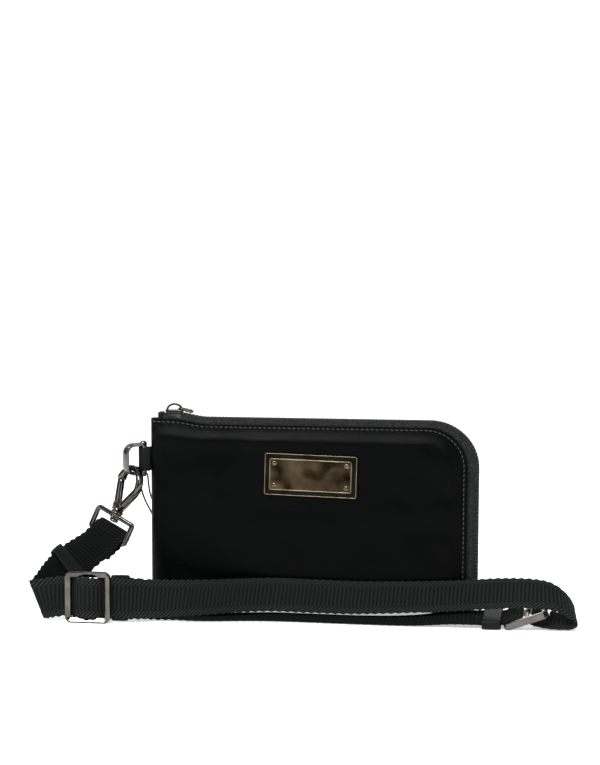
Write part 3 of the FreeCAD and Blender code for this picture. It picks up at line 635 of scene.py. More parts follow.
def stitch_row(name, side, seed):
    """Row of raised thread stitches along the rim."""
    place, total = rim_path(STITCH_INSET, ROW_LOW)
    points, faces = [], []
    sections = 7
    around = 6
    for index in range(int((total - 2 * ROW_MARGIN) / STITCH_PITCH)):
        middle, angle = place(ROW_MARGIN + index * STITCH_PITCH)
        lean = angle + STITCH_LEAN
        ahead = Vector((math.cos(lean), 0, -math.sin(lean)))
        outward = Vector((math.sin(lean), 0, math.cos(lean)))
        depth = cloth_depth(middle.x, middle.z, seed, side)
        base = len(points)
        for section in range(sections):
            share = section / (sections - 1) * 2 - 1
            bow = math.sqrt(max(1 - share * share, 0.02))
            centre = middle + ahead * (share * STITCH_LENGTH / 2)
            centre.y = side * (depth + 0.10 + 0.16 * bow)
            for step in range(around):
                turn = 2 * math.pi * step / around
                points.append(settle(centre + outward * (0.25 * bow * math.cos(turn))
                                     + Vector((0, side, 0)) * (0.22 * bow * math.sin(turn))))
        faces += shifted(ring_faces(sections, around, cap=True), base)
    return face_outward(mesh_piece(name, points, faces, THREAD))


FRONT_SEED, BACK_SEED, LINING_INSET = 3.1, 11.7, 3.4
front_cloth = cloth_grid("front_cloth", -1, FRONT_SEED)
declare(front_cloth, "shell_nylon", None, "front_panel_lower", "front_panel_flap")

back_cloth = cloth_grid("back_cloth", 1, BACK_SEED)
declare(back_cloth, "shell_nylon", "pouch", "back_panel", "left_gusset", "bottom_gusset")

front_lining = cloth_grid("front_lining_cloth", -1, FRONT_SEED, LINING_INSET, LINING, 60, 44)
declare(front_lining, "lining_cloth", None, "front_lining_lower", "front_lining_flap")

back_lining = cloth_grid("back_lining_cloth", 1, BACK_SEED, LINING_INSET, LINING, 60, 44)
declare(back_lining, "lining_cloth", "pouch", "back_lining")

front_stitches = stitch_row("front_stitches", -1, FRONT_SEED)
declare(front_stitches, "shell_nylon", None)
back_stitches = stitch_row("back_stitches", 1, BACK_SEED)
declare(back_stitches, "shell_nylon", "pouch")


POCKET_THICK = 0.6


def pocket_cloth():
    """Slip pocket on the back lining, with a rolled top hem."""
    low, high = box_mm("slip_pocket")
    points = []
    columns, rows = 50, 24
    for column in range(columns + 1):
        across = low.x + (high.x - low.x) * column / columns
        for row in range(rows + 1):
            up = low.z + (high.z - low.z) * row / rows
            hem = 0.35 * smooth_step((up - high.z + 7) / 1.5)
            slack = 0.5 * smooth_step((up - low.z) / 40) * math.sin(across / 19)
            points.append(Vector((across, low.y + 0.1 - hem - 0.4 * abs(slack), up)))
    return thickened(mesh_piece("slip_pocket_cloth", points, grid_faces(columns, rows), LINING),
                     POCKET_THICK)


pocket = pocket_cloth()
declare(pocket, "lining_cloth", "pouch", "slip_pocket")

# ------------------------------------------------------------------ zip

tape_low = box_mm("zip_tape_back")[0]
SIDE_EXTRA, ZIP_RISE, TAPE_THICK = 2.6, 3, 0.55
ZIP_MIDDLE_X = RIGHT + SIDE_EXTRA - CORNER


def zip_place(along, rise, start):
    """Point of the zip's line at a rise above the panel's edge, with its turn."""
    radius = CORNER + rise
    straight = ZIP_MIDDLE_X - start
    turn = (CORNER + ZIP_RISE) * math.pi / 2
    if along < straight:
        return Vector((start + along, 0, TOP + rise)), 0.0
    if along < straight + turn:
        angle = (along - straight) / (CORNER + ZIP_RISE)
        return Vector((ZIP_MIDDLE_X + radius * math.sin(angle), 0,
                       CENTRE_Z + radius * math.cos(angle))), angle
    return Vector((RIGHT + SIDE_EXTRA + rise, 0,
                   CENTRE_Z - (along - straight - turn))), math.pi / 2


def zip_length(start, low):
    return ZIP_MIDDLE_X - start + (CORNER + ZIP_RISE) * math.pi / 2 + CENTRE_Z - low


def tape_piece(name, side):
    """One tape: from inside the panel's edge up and over to the teeth."""
    start = tape_low.x
    total = zip_length(start, tape_low.z)
    steps = 230
    section = [(-6.4, 2.9, 0.0), (-3.0, 3.0, 3.4), (-1.2, 3.3, 5.2), (-0.2, 3.75, 6.2),
               (0.5, 3.8, 6.9), (0.95, 3.5, 7.4), (1.2, 3.1, 7.9), (1.8, 2.95, 8.6),
               (2.5, 2.5, 9.6), (2.9, 1.8, 10.6), (3.0, 0.9, 11.6), (2.95, 0.28, 12.2)]
    points, places = [], []
    for step in range(steps + 1):
        along = total * step / steps
        ripple = 0.12 * math.sin(along * 0.35) + 0.10 * math.sin(along * 0.13 + side)
        for rise, out, across in section:
            lift = rise + (ripple if rise > 1 else 0)
            point, angle = zip_place(along, lift, start)
            point.y = side * out
            points.append(settle(point))
            places.append((along, across))
    count = len(section)
    faces = []
    for step in range(steps):
        for index in range(count - 1):
            first = step * count + index
            face = (first, first + 1, first + count + 1, first + count)
            faces.append(face if side > 0 else tuple(reversed(face)))
    return thickened(mesh_piece(name, points, faces, TAPE, places), TAPE_THICK)


front_tape = tape_piece("front_tape", -1)
declare(front_tape, "zip_tape", None, "zip_tape_front", "zip_tape_front_ends")
back_tape = tape_piece("back_tape", 1)
declare(back_tape, "zip_tape", "pouch", "zip_tape_back")


TOOTH_PITCH, TOOTH_RISE, TOOTH_MARGIN = 2.4, 3.5, 3.0


def tooth_row(name, side, offset):
    """Rounded teeth that reach past the middle line between their neighbours."""
    start = tape_low.x + TOOTH_MARGIN
    total = zip_length(start, tape_low.z + TOOTH_MARGIN)
    profile = rounded_profile(1.35, 2.1, 0.5, 3)
    points, faces = [], []
    sections = ((2.2, 0.7), (1.9, 1.0), (0.5, 0.92), (-0.35, 1.05), (-0.75, 0.75))
    for index in range(int((total - offset) / TOOTH_PITCH)):
        middle, angle = zip_place(offset + index * TOOTH_PITCH, TOOTH_RISE, start)
        ahead = Vector((math.cos(angle), 0, -math.sin(angle)))
        outward = Vector((math.sin(angle), 0, math.cos(angle)))
        base = len(points)
        for depth, size in sections:
            for across, up in profile:
                points.append(settle(middle + ahead * (across * size) + outward * (up * size)
                                     + Vector((0, side * depth, 0))))
        faces += shifted(ring_faces(len(sections), len(profile), cap=True), base)
    return face_outward(mesh_piece(name, points, faces, TEETH))


front_teeth = tooth_row("front_teeth", -1, TOOTH_PITCH / 2)
declare(front_teeth, "zip_teeth", None, "zip_teeth_front", "zip_teeth_front_ends")
back_teeth = tooth_row("back_teeth", 1, 0.0)
declare(back_teeth, "zip_teeth", "pouch", "zip_teeth_back")


def end_tab():
    """Small folded leather end over the zip's start."""
    low, high = box_mm("zip_end_tab")
    middle = (low + high) / 2
    middle.x, low.x = high.x - 0.2, high.x - 1.4
    profile = rounded_profile(high.y - low.y + 1.4, high.z - low.z + 0.6, 1.3, 5)
    points = []
    shares = ((-0.5, 0.8), (-0.44, 0.95), (-0.3, 1.0), (0.3, 1.0), (0.44, 0.95), (0.5, 0.8))
    for share, size in shares:
        for across, up in profile:
            points.append(Vector((middle.x + share * (high.x - low.x + 1.5), middle.y + across * size,
                                  middle.z + up * size)))
    faces = [tuple(reversed(face)) for face in ring_faces(len(shares), len(profile), cap=True)]
    return mesh_piece("zip_end_leather", points, faces, LEATHER)


tab = end_tab()
declare(tab, "leather", "pouch", "zip_end_tab")

# ------------------------------------------------------------------ webbing


def curve_through(points):
    """Catmull-Rom curve through points, as a function of the point index."""
    def place(position):
        index = min(int(position), len(points) - 2)
        local = position - index
        before = points[max(index - 1, 0)]
        here, after = points[index], points[index + 1]
        beyond = points[min(index + 2, len(points) - 1)]
        square, cube = local * local, local * local * local
        return ((here * 2) + (after - before) * local
                + (before * 2 - here * 5 + after * 4 - beyond) * square
                + (here * 3 - before - after * 3 + beyond) * cube) * 0.5
    return place


FRAME_PITCH = 0.42


def strap_frames(stations):
    """Evenly spaced frames along a strap: centre, across, normal and length so far."""
    low = curve_through([edges[0] for edges in stations])
    high = curve_through([edges[1] for edges in stations])
    fine = 24
    samples = [step / fine for step in range((len(stations) - 1) * fine + 1)]
    centres = [(low(at) + high(at)) / 2 for at in samples]
    lengths = [0.0]
    for index in range(1, len(centres)):
        lengths.append(lengths[-1] + (centres[index] - centres[index - 1]).length)
    total = lengths[-1]
    frames = []
    steps = int(total / FRAME_PITCH)
    cursor = 0
    for step in range(steps + 1):
        along = total * step / steps
        while cursor < len(lengths) - 2 and lengths[cursor + 1] < along:
            cursor += 1
        part = (along - lengths[cursor]) / max(lengths[cursor + 1] - lengths[cursor], 1e-9)
        at = samples[cursor] + part * (samples[cursor + 1] - samples[cursor])
        frames.append([(low(at) + high(at)) / 2, (high(at) - low(at)).normalized(), None, along])
    for index, item in enumerate(frames):
        ahead = frames[min(index + 1, steps)][0] - frames[max(index - 1, 0)][0]
        item[2] = item[1].cross(ahead).normalized()
    return frames


RIB_RISE, FLOAT_RISE = 0.10, 0.13


def rib_height(along, across):
    """Relief of the weave: cross ribs in the middle, slanted floats at both edges."""
    from_edge = min(across, WEB_WIDTH - across)
    if from_edge > EDGE_BAND:
        return RIB_RISE * math.sin(2 * math.pi * along / RIB_PITCH)
    return FLOAT_RISE * math.sin(2 * math.pi * (along + across) / RIB_PITCH)


SCALLOP, SCALLOP_PITCH = 0.36, 2 * RIB_PITCH


def strap_piece(name, stations, width=WEB_WIDTH, material=WEBBING):
    """Woven strap with relief on both faces and rounded, scalloped edges."""
    frames = strap_frames(stations)
    across_steps = 26
    points, places = [], []
    for centre, across, normal, along in frames:
        scallop = SCALLOP * math.sin(2 * math.pi * along / SCALLOP_PITCH)
        for face_side in (1, -1):
            for step in range(across_steps + 1):
                share = step / across_steps
                if face_side < 0:
                    share = 1 - share
                offset = -math.cos(math.pi * share) * 0.25 + (share * 2 - 1) * 0.75
                at = (offset + 1) / 2 * WEB_WIDTH
                roll = math.sqrt(max(1 - abs(offset) ** 9, 0.0))
                height = (WEB_THICK / 2 - 0.17) * roll + rib_height(along, at) * roll
                wide = width / 2 + scallop * abs(offset) ** 6
                points.append(centre + across * (offset * wide) + normal * (face_side * height))
                places.append((along, at))
    count = 2 * (across_steps + 1)
    faces = ring_faces(len(frames), count, cap=True)
    return face_outward(mesh_piece(name, points, faces, material, places))


def pair(across, high_y, high_z, low_y, low_z):
    """Edge pair of a run that goes along X: upper edge, then lower edge."""
    return Vector((across, high_y, high_z)), Vector((across, low_y, low_z))


# The strap's route: each entry is the upper and the lower edge of the webbing at one place.
FRONT_RUN = [
    (Vector((-167.2, -60.4, 24.6)), Vector((-158.3, -60.4, 1.8))),
    (Vector((-168.5, -61.4, 24.6)), Vector((-159.6, -61.4, 1.8))),
    (Vector((-167.1, -62.3, 24.6)), Vector((-158.2, -62.3, 1.8))),
    (Vector((-160.0, -62.0, 26.4)), Vector((-155.8, -62.0, 2.0))),
    pair(-151.0, -61.2, 27.7, -61.2, 2.8),
    pair(-145.5, -60.8, 28.1, -60.8, 3.4),
    pair(-140.8, -61.2, 28.2, -61.2, 3.4),
    pair(-135.2, -66.2, 28.2, -66.2, 3.4),
    pair(-127.0, -66.2, 28.2, -66.2, 3.4),
    pair(-121.2, -61.2, 28.1, -61.2, 3.4),
    pair(-116.0, -59.9, 27.8, -60.4, 3.2),
    pair(-108.0, -55.0, 26.4, -59.6, 2.6),
    pair(-97.0, -47.0, 24.6, -57.4, 2.6),
    pair(-80.0, -37.4, 23.2, -51.2, 2.8),
    pair(-63.0, -28.0, 22.2, -44.0, 3.0),
    pair(-43.0, -18.4, 21.8, -35.4, 3.4),
    pair(-23.0, -12.0, 21.6, -29.4, 3.6),
    pair(4.0, -10.6, 21.0, -28.2, 3.2),
    pair(31.0, -10.6, 20.8, -28.8, 3.4),
    pair(68.0, -10.8, 22.2, -30.6, 5.6),
    pair(94.0, -11.6, 23.6, -31.8, 7.8),
    pair(118.0, -14.0, 26.2, -34.4, 10.2),
    pair(138.0, -18.2, 27.0, -39.2, 12.2),
    (Vector((150.0, -20.6, 25.2)), Vector((152.5, -42.0, 11.6))),
    (Vector((158.5, -21.0, 19.4)), Vector((161.5, -43.6, 7.6))),
    (Vector((163.2, -20.6, 11.6)), Vector((166.2, -44.4, 4.2))),
    (Vector((162.2, -20.4, 5.4)), Vector((163.5, -45.0, 1.7))),
    (Vector((157.0, -20.4, 6.6)), Vector((156.0, -45.2, 1.1))),
    (Vector((149.0, -20.6, 7.8)), Vector((148.5, -45.4, 1.4))),
    (Vector((142.5, -20.8, 8.4)), Vector((142.0, -45.6, 2.6))),
    (Vector((138.4, -20.8, 9.0)), Vector((138.2, -45.6, 3.8))),
]
UNDER_RUN = [
    pair(-127.4, -59.2, 26.4, -59.2, 1.8),
    pair(-118.0, -56.4, 27.0, -57.0, 2.2),
    pair(-108.0, -50.0, 26.0, -55.2, 2.0),
    pair(-97.0, -41.2, 23.0, -53.4, 1.3),
    pair(-80.0, -31.0, 13.0, -52.8, 1.1),
    pair(-61.0, -26.8, 1.9, -51.8, 1.0),
    pair(-21.0, -20.0, 0.95, -45.0, 0.95),
    pair(34.0, -21.0, 0.95, -46.0, 0.95),
    pair(66.0, -21.0, 2.4, -46.0, 1.0),
    pair(90.0, -20.8, 6.0, -45.8, 2.4),
    pair(108.0, -21.0, 6.8, -46.0, 2.6),
    pair(121.5, -21.0, 7.4, -46.0, 3.0),
    pair(125.0, -19.9, 8.8, -44.3, 4.0),
    pair(129.0, -19.7, 9.2, -44.1, 5.2),
    pair(133.4, -19.7, 9.4, -44.1, 6.0),
]

front_strap = strap_piece("front_strap", FRONT_RUN)
declare(front_strap, "webbing", "strap_loop", "strap_front_run")

# The under run uses the darker webbing copy: painted shade.
under_strap = strap_piece("under_strap", UNDER_RUN, WEB_WIDTH - 0.3, SHADE_PAINTED_WEBBING)
declare(under_strap, "webbing", "strap_loop", "strap_under_run")

pivot = joint_named("tail_pivot")
eye_middle = Vector(pivot["pos_m"]) / MM
eye_across = Vector(pivot["axis"]).normalized()
swivel = joint_named("eye_swivel")
hook_foot = Vector(swivel["pos_m"]) / MM
hook_axis = Vector(swivel["axis"]).normalized()
crease = joint_named("strap_fold")
fold_middle = Vector(crease["pos_m"]) / MM
fold_across = Vector(crease["axis"]).normalized()
TAIL_BOW, TAIL_DRIFT, LOOP_RISE = 3.0, 3.2, 7.0
EYE_WIRE, LOOP_PLAY, LOOP_OVERLAP = 1.5, 0.35, 13


def tail_pair(share):
    """Edge pair of the tail between the eye (0) and the fold (1)."""
    middle = eye_middle.lerp(fold_middle, share)
    across = eye_across.lerp(fold_across, share).normalized()
    ahead = (fold_middle - eye_middle).normalized()
    middle += across.cross(ahead).normalized() * (TAIL_BOW * math.sin(math.pi * share))
    middle -= across * (TAIL_DRIFT * math.sin(math.pi * min(share * 1.1, 1.0)))
    return middle - across * (WEB_WIDTH / 2), middle + across * (WEB_WIDTH / 2)


def tail_stations():
    """Round the eye's lower bar, then down to the fold."""
    ahead = (fold_middle - eye_middle).normalized()
    up = ahead.cross(eye_across).normalized()
    reach = EYE_WIRE + LOOP_PLAY + WEB_THICK / 2
    stations = []
    for step in range(9):
        angle = math.radians(-62 - 29 * step)
        stretch = LOOP_RISE * max(-math.cos(angle), 0.0) ** 0.5
        centre = eye_middle + (ahead * math.cos(angle) + up * math.sin(angle)) * reach
        centre -= ahead * stretch
        if step == 0:
            back = centre + ahead * LOOP_OVERLAP
            stations.append((back - eye_across * (WEB_WIDTH / 2),
                             back + eye_across * (WEB_WIDTH / 2)))
        stations.append((centre - eye_across * (WEB_WIDTH / 2),
                         centre + eye_across * (WEB_WIDTH / 2)))
    stations += [tail_pair(share) for share in (0.12, 0.2, 0.35, 0.5, 0.65, 0.8, 0.9, 0.975)]
    return stations


# The tail uses the darker webbing copy: painted shade.
tail_strap = strap_piece("tail_strap", tail_stations(), WEB_WIDTH - 0.2, SHADE_PAINTED_WEBBING)
declare(tail_strap, "webbing", "tail", "strap_tail")

# ------------------------------------------------------------------ leather


def band_piece(name, first, last, play, wall=1.5):
    """Leather band round the webbing between two edge pairs, with eased edges."""
    points = []
    inner = rounded_profile(WEB_WIDTH + 2 * play, WEB_THICK + 2 * play, min(play + 0.5, 1.2), 5)
    outer = rounded_profile(WEB_WIDTH + 2 * (play + wall), WEB_THICK + 2 * (play + wall),
                            play + wall, 5)
    start = (first[0] + first[1]) / 2
    end = (last[0] + last[1]) / 2
    ahead = (end - start).normalized()
    eased = [((ix * 0.25 + ox * 0.75), (iy * 0.25 + oy * 0.75))
             for (ix, iy), (ox, oy) in zip(inner, outer)]
    sections = [(0.0, inner), (0.0, eased), (0.05, outer), (0.5, outer), (0.95, outer),
                (1.0, eased), (1.0, inner)]
    for share, ring in sections:
        low, high = first[0].lerp(last[0], share), first[1].lerp(last[1], share)
        centre, across = (low + high) / 2, (high - low).normalized()
        normal = across.cross(ahead).normalized()
        points += [centre + across * x + normal * y for x, y in ring]
    faces = ring_faces(len(sections), len(inner), closed_rings=True)
    return softened(mesh_piece(name, points, [tuple(reversed(face)) for face in faces], LEATHER))


tail_band = band_piece("tail_band", tail_pair(0.43), tail_pair(0.57), 0.5)
declare(tail_band, "leather", "tail_keeper", "tail_keeper")

under_low, under_high = box_mm("under_keeper")
band_y = (under_low.y + under_high.y) / 2
band_z = (under_low.z + under_high.z) / 2
BAND_TILT = 1.3
under_band = band_piece("under_band",
                        pair(under_low.x, band_y + WEB_WIDTH / 2, band_z + BAND_TILT,
                             band_y - WEB_WIDTH / 2, band_z - 0.7),
                        pair(under_high.x, band_y + WEB_WIDTH / 2, band_z + BAND_TILT + 0.8,
                             band_y - WEB_WIDTH / 2, band_z - 0.4), 0.9)
declare(under_band, "leather", "under_keeper", "under_keeper")

cover_band = band_piece("cover_band", UNDER_RUN[1], UNDER_RUN[2], 0.15)
declare(cover_band, "leather", "strap_loop", "bar_cover")

# ------------------------------------------------------------------ slides


def slide_frame(name, node, body, placement):
    """Polished rectangular slide: a crowned bar swept round rounded corners."""
    outer_x, outer_z, bar, deep = 28.5, 31.5, 3.5, 4.2
    loop = rounded_loop(outer_x - bar, outer_z - bar + 0.4, 2.4, 5)
    wide, tall = bar / 2, deep / 2
    profile = [(wide, -tall), (wide, tall - 0.6), (wide - 0.5, tall), (wide - 1.0, tall),
               (-wide, tall - 1.5), (-wide, -tall)]
    piece = crisp(swept(name, loop, profile, Vector((0, -1, 0)), GUNMETAL, closed=True))
    piece.data.transform(placement)
    declare(piece, "gunmetal", body, node)


left_low, left_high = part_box("left_slide_frame")
slide_frame("left_slide_ring", "left_slide_frame", "left_slide",
            Matrix.Translation((left_low + left_high) / 2))
right_low, right_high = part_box("right_slide_frame")
SLIDE_TILT = math.radians(-20)
lay_flat = Matrix.Rotation(SLIDE_TILT, 4, "Y") @ Matrix.Rotation(math.pi / 2, 4, "X")
slide_frame("right_slide_ring", "right_slide_frame", "right_slide",
            Matrix.Translation((right_low + right_high) / 2) @ lay_flat)

# ------------------------------------------------------------------ D-ring

ring_low, ring_high = box_mm("d_ring")


def d_ring_piece():
    """Flat band bent to a D. The band keeps its width where its bar crosses the leather tab."""
    wire, deep, turn, corner_steps = 1.4, 12.0, math.radians(40), 8
    low, high = ring_low.z + wire, ring_high.z - wire
    corners = [(0.0, low, 1.9), (0.0, high, 1.9), (-deep, high, 5.5), (-deep, low, 5.5)]
    path = []
    for index, (across, up, radius) in enumerate(corners):
        here = Vector((across, 0, up))
        back = (Vector((corners[index - 1][0], 0, corners[index - 1][1])) - here).normalized()
        following = corners[(index + 1) % 4]
        ahead = (Vector((following[0], 0, following[1])) - here).normalized()
        centre = here + (back + ahead) * radius
        for step in range(corner_steps + 1):
            angle = math.pi / 2 * step / corner_steps
            path.append(centre - ahead * (radius * math.cos(angle))
                        - back * (radius * math.sin(angle)))
    piece = swept("d_ring_bow", path, rounded_profile(2.3, 5.6, 0.8, 4), Vector((0, 1, 0)),
                  GUNMETAL, closed=True)
    ends = []
    for height in (low, high):
        outline = [(1.2, -2.2), (2.0, -1.6), (2.4, -0.6), (2.4, 0.6), (2.0, 1.6), (1.2, 2.2)]
        end = lathe("d_ring_end", outline, GUNMETAL, 20)
        end.data.transform(Matrix.Translation(Vector((0.4, 0, height)) * MM))
        ends.append(end)
    piece = joined("d_ring_band", piece, *ends)
    bar = Vector(joint_named("d_ring_swing")["pos_m"])
    piece.data.transform(Matrix.Translation((bar.x, bar.y, 0)) @ Matrix.Rotation(turn, 4, "Z"))
    return piece


def ring_tab_piece():
    """Leather strip folded round the ring's bar, its two layers pinched together behind it."""
    low, high = box_mm("ring_tab")
    half, tall = (high.y - low.y) / 2, high.z - low.z
    bar_x, thick, pinch, turns, side_steps = low.x + half, 1.1, 0.55, 16, 8

    def layer(reach, wave):
        """Plan of one face of the strip, from one end round the bar to the other."""
        side = []
        for step in range(side_steps):
            share = step / side_steps
            squeeze = pinch * math.sin(math.pi * share) ** 2
            side.append((high.x + (bar_x - high.x) * share, reach - squeeze, wave * (1 - share)))
        line = [(across, -depth - lean) for across, depth, lean in side]
        for turn in range(turns + 1):
            angle = -math.pi / 2 - math.pi * turn / turns
            line.append((bar_x + reach * math.cos(angle), reach * math.sin(angle)))
        return line + [(across, depth - lean) for across, depth, lean in reversed(side)]

    heights = [(0.0, 0.45), (0.15, 0.14), (0.5, 0.0)]
    heights += [(0.5 + step, 0.0) for step in range(1, int(tall))]
    heights += [(tall - 0.15, 0.14), (tall, 0.45)]
    points = []
    for up, ease in heights:
        wave = 0.12 * math.sin(up * 0.9)
        plan = layer(half - ease, wave) + layer(half - thick + ease, wave)[::-1]
        points += [Vector((across, depth, low.z + up)) for across, depth in plan]
    count = len(points) // len(heights)
    faces = ring_faces(len(heights), count)
    top = len(points) - count
    for index in range(count // 2 - 1):
        far = count - 1 - index
        faces.append((index, index + 1, far - 1, far))
        faces.append((top + index, top + far, top + far - 1, top + index + 1))
    return softened(face_outward(mesh_piece("ring_tab_leather", points, faces, LEATHER)))


ring_tab = ring_tab_piece()
declare(ring_tab, "leather", "pouch", "ring_tab")

d_ring = d_ring_piece()
declare(d_ring, "gunmetal", "d_ring", "d_ring")

# ------------------------------------------------------------------ hook, gate and eye


def hook_space(turn):
    """Local space at the hook's foot: Z along the hook, X across its face."""
    level = Vector((hook_axis.z, 0, -hook_axis.x))
    angle = math.radians(turn)
    across = level * math.cos(angle) + Vector((0, 1, 0)) * math.sin(angle)
    deep = hook_axis.cross(across)
    space = Matrix((across, deep, hook_axis)).transposed().to_4x4()
    return Matrix.Translation(hook_foot * MM) @ space


HOOK_TURN, EYE_TURN = -45, -20
BOW_RADIUS, BOW_HEIGHT = 10.5, 26.5


def bow_point(angle):
    """Point of the hook's bow; 0 is its top and 90 the side of the spine."""
    turn = math.radians(angle)
    return Vector((BOW_RADIUS * math.sin(turn), 0, BOW_HEIGHT + BOW_RADIUS * math.cos(turn)))


def hook_piece():
    """Spine, bow and tip in one bar on a neck with two collars and a round stem head."""
    foot, shoulder = Vector((1.2, 0, 8.6)), bow_point(97)
    stations = []
    for share in (0.0, 0.3, 0.6, 0.9):
        run = (shoulder - foot).normalized()
        stations.append((foot.lerp(shoulder, share), Vector((run.z, 0, -run.x)),
                         2.2 - 0.2 * share, 2.7 - 0.3 * share))
    for step in range(17):
        angle = 92 - step * 11.6
        place = bow_point(angle)
        outward = (place - Vector((0, 0, BOW_HEIGHT))).normalized()
        near_tip = max(step - 13, 0) / 3
        stations.append((place, outward, 1.85 + 0.8 * near_tip, 2.3 + 0.6 * near_tip))
    bar = bar_along("hook_bar", stations, GUNMETAL)
    neck = lathe("hook_neck", [(2.7, 0.0), (2.9, 0.4), (2.9, 1.4), (1.7, 1.8), (1.7, 5.5), (3.6, 5.7),
                               (4.0, 6.1), (4.0, 6.7), (3.6, 7.1), (3.0, 7.3), (3.0, 7.7),
                               (3.5, 7.9), (3.7, 8.3), (3.5, 8.8), (3.0, 9.4), (2.7, 11.6),
                               (1.8, 12.6), (0.6, 13.0)], GUNMETAL)
    cheek_high, cheek_low = Vector((-3.4, 0, 12.2)), Vector((-1.6, 0, 7.6))
    cheeks = []
    for side in (-2.1, 2.1):
        shift = Vector((0, side, 0))
        cheeks.append(bar_along("hook_cheek", [(cheek_low + shift, Vector((1, 0, 0.3)), 2.4, 0.6),
                                               (cheek_high + shift, Vector((1, 0, 0.3)), 2.1, 0.6)],
                                GUNMETAL))
    piece = joined("hook_polished", bar, neck, *cheeks)
    piece.data.transform(hook_space(HOOK_TURN))
    return piece


hook = hook_piece()
declare(hook, "gunmetal", "hook", "hook_body")


def gate_piece():
    """Tapered gate with a round knuckle at its pin."""
    pin, tip = Vector((-2.6, 0, 9.6)), Vector((-10.2, 0, 25.0))
    run = (tip - pin).normalized()
    across = Vector((run.z, 0, -run.x))
    shares = ((0.04, 1.7), (0.12, 2.4), (0.3, 2.5), (0.8, 2.3), (1.08, 2.2), (1.13, 1.7))
    stations = [(pin.lerp(tip, share), across, wide, 1.0 + 0.4 * wide) for share, wide in shares]
    leaf = bar_along("gate_leaf", stations, GUNMETAL)
    knuckle = lathe("gate_knuckle", [(1.4, -1.4), (1.8, -1.1), (1.8, 1.1), (1.4, 1.4)], GUNMETAL)
    knuckle.data.transform(Matrix.Translation(pin * MM) @ Matrix.Rotation(math.pi / 2, 4, "X"))
    piece = joined("gate_polished", leaf, knuckle)
    piece.data.transform(hook_space(HOOK_TURN))
    return piece


gate = gate_piece()
declare(gate, "gunmetal", "gate", "hook_gate")


def eye_piece():
    """Rectangular eye with soft corners and a ribbed hub in its upper bar."""
    wide, tall, high = 28.0, 14.0, 3.8
    loop = rounded_loop(wide, tall, 1.6, 5)
    ring = swept("eye_ring", loop, rounded_profile(2 * EYE_WIRE, 2 * EYE_WIRE, 0.95, 3), Vector((0, 1, 0)),
                 GUNMETAL, closed=True)
    ring.data.transform(Matrix.Translation(Vector((0, 0, high - tall / 2)) * MM))
    hub = lathe("eye_hub", [(1.85, 2.0), (3.0, 2.0), (3.4, 2.4), (3.4, 3.2), (3.1, 3.5), (3.1, 4.1),
                            (3.4, 4.4), (3.4, 5.1), (3.0, 5.55), (1.85, 5.55)], GUNMETAL)
    piece = joined("eye_polished", ring, hub)
    piece.data.transform(hook_space(EYE_TURN))
    return piece


eye = eye_piece()
declare(eye, "gunmetal", "eye", "webbing_eye")

# ------------------------------------------------------------------ zip slider


def slider_piece():
    """Slider with waisted plates, side lips that reach down past the teeth, and a bridge."""
    low, high = box_mm("slider_body")
    middle = (low.x + high.x) / 2
    long, wide = high.x - low.x, high.y - low.y
    top = high.z - 4.6
    parts = []
    for height, thick in ((top, 1.0), (top - 4.2, 0.9)):
        outline = []
        for step in range(40):
            angle = 2 * math.pi * step / 40
            reach = 1 - 0.16 * math.cos(2 * angle) ** 2
            ends = math.copysign(abs(math.cos(angle)) ** 0.5, math.cos(angle))
            sides = math.copysign(abs(math.sin(angle)) ** 0.6, math.sin(angle))
            outline.append(Vector((long / 2 * ends * reach * 1.15, wide / 2 * sides, 0)))
        points = []
        for rise, size in ((-thick / 2, 0.9), (-thick / 4, 1.0), (thick / 4, 1.0), (thick / 2, 0.88)):
            points += [Vector((middle + spot.x * size, spot.y * size, height + rise))
                       for spot in outline]
        parts.append(face_outward(mesh_piece("slider_plate", points,
                                             ring_faces(4, 40, cap=True), GUNMETAL)))
    for side in (-1, 1):
        stations = [(Vector((middle + share * long, side * (wide / 2 - 0.6), top - 2.3)),
                     Vector((0, 0, 1)), tall, 0.45)
                    for share, tall in ((-0.42, 0.8), (-0.34, 1.3), (0.34, 1.3), (0.42, 0.8))]
        parts.append(bar_along("slider_lip", stations, GUNMETAL))
    bridge = []
    for step in range(15):
        angle = math.radians(-8 + step * 14)
        place = Vector((middle + 5.0 * math.cos(angle), 0, top - 0.3 + 4.3 * math.sin(angle)))
        outward = Vector((math.cos(angle), 0, math.sin(angle)))
        bridge.append((place, outward, 0.7, 1.3))
    parts.append(bar_along("slider_bridge", bridge, GUNMETAL))
    piece = joined("slider_polished", *parts)
    piece.data.materials[0] = SMOKED
    return piece


slider = slider_piece()
declare(slider, "gunmetal", "zip_slider", "slider_body")


def pull_piece():
    """Short heavy pull that leans down from the bridge towards the zip."""
    low, high = box_mm("slider_pull")
    middle_z = (low.z + high.z) / 2
    stations = []
    for share, drop, wide, deep in ((0.0, 0.0, 0.5, 1.5), (0.06, 0.0, 0.9, 1.8), (0.3, 0.3, 1.0, 1.8),
                                    (0.6, 1.0, 1.15, 2.1), (0.9, 1.7, 1.15, 2.1),
                                    (1.0, 2.0, 0.6, 1.7)):
        place = Vector((low.x + (high.x - low.x) * share, 0, middle_z + 0.4 - drop))
        stations.append((place, Vector((0.2, 0, 1)).normalized(), wide, deep))
    return bar_along("pull_polished", stations, SMOKED)


pull = pull_piece()
declare(pull, "gunmetal", "zip_pull", "slider_pull")

# ------------------------------------------------------------------ name plate

PLATE_TURN = Matrix.Rotation(math.radians(1.6), 4, "Y")


def plate_ring(name, wide, tall, bar, thick, depth):
    """Rounded frame strip that stands proud round the plate."""
    loop = rounded_loop(wide - bar, tall - bar, 0.9, 4)
    profile = rounded_profile(bar, thick, min(bar, thick) * 0.42, 3)
    piece = swept(name, loop, profile, Vector((0, 1, 0)), GOLD, closed=True)
    place = Vector((PLATE.x, depth, PLATE.z)) * MM
    piece.data.transform(Matrix.Translation(place) @ PLATE_TURN)
    return piece


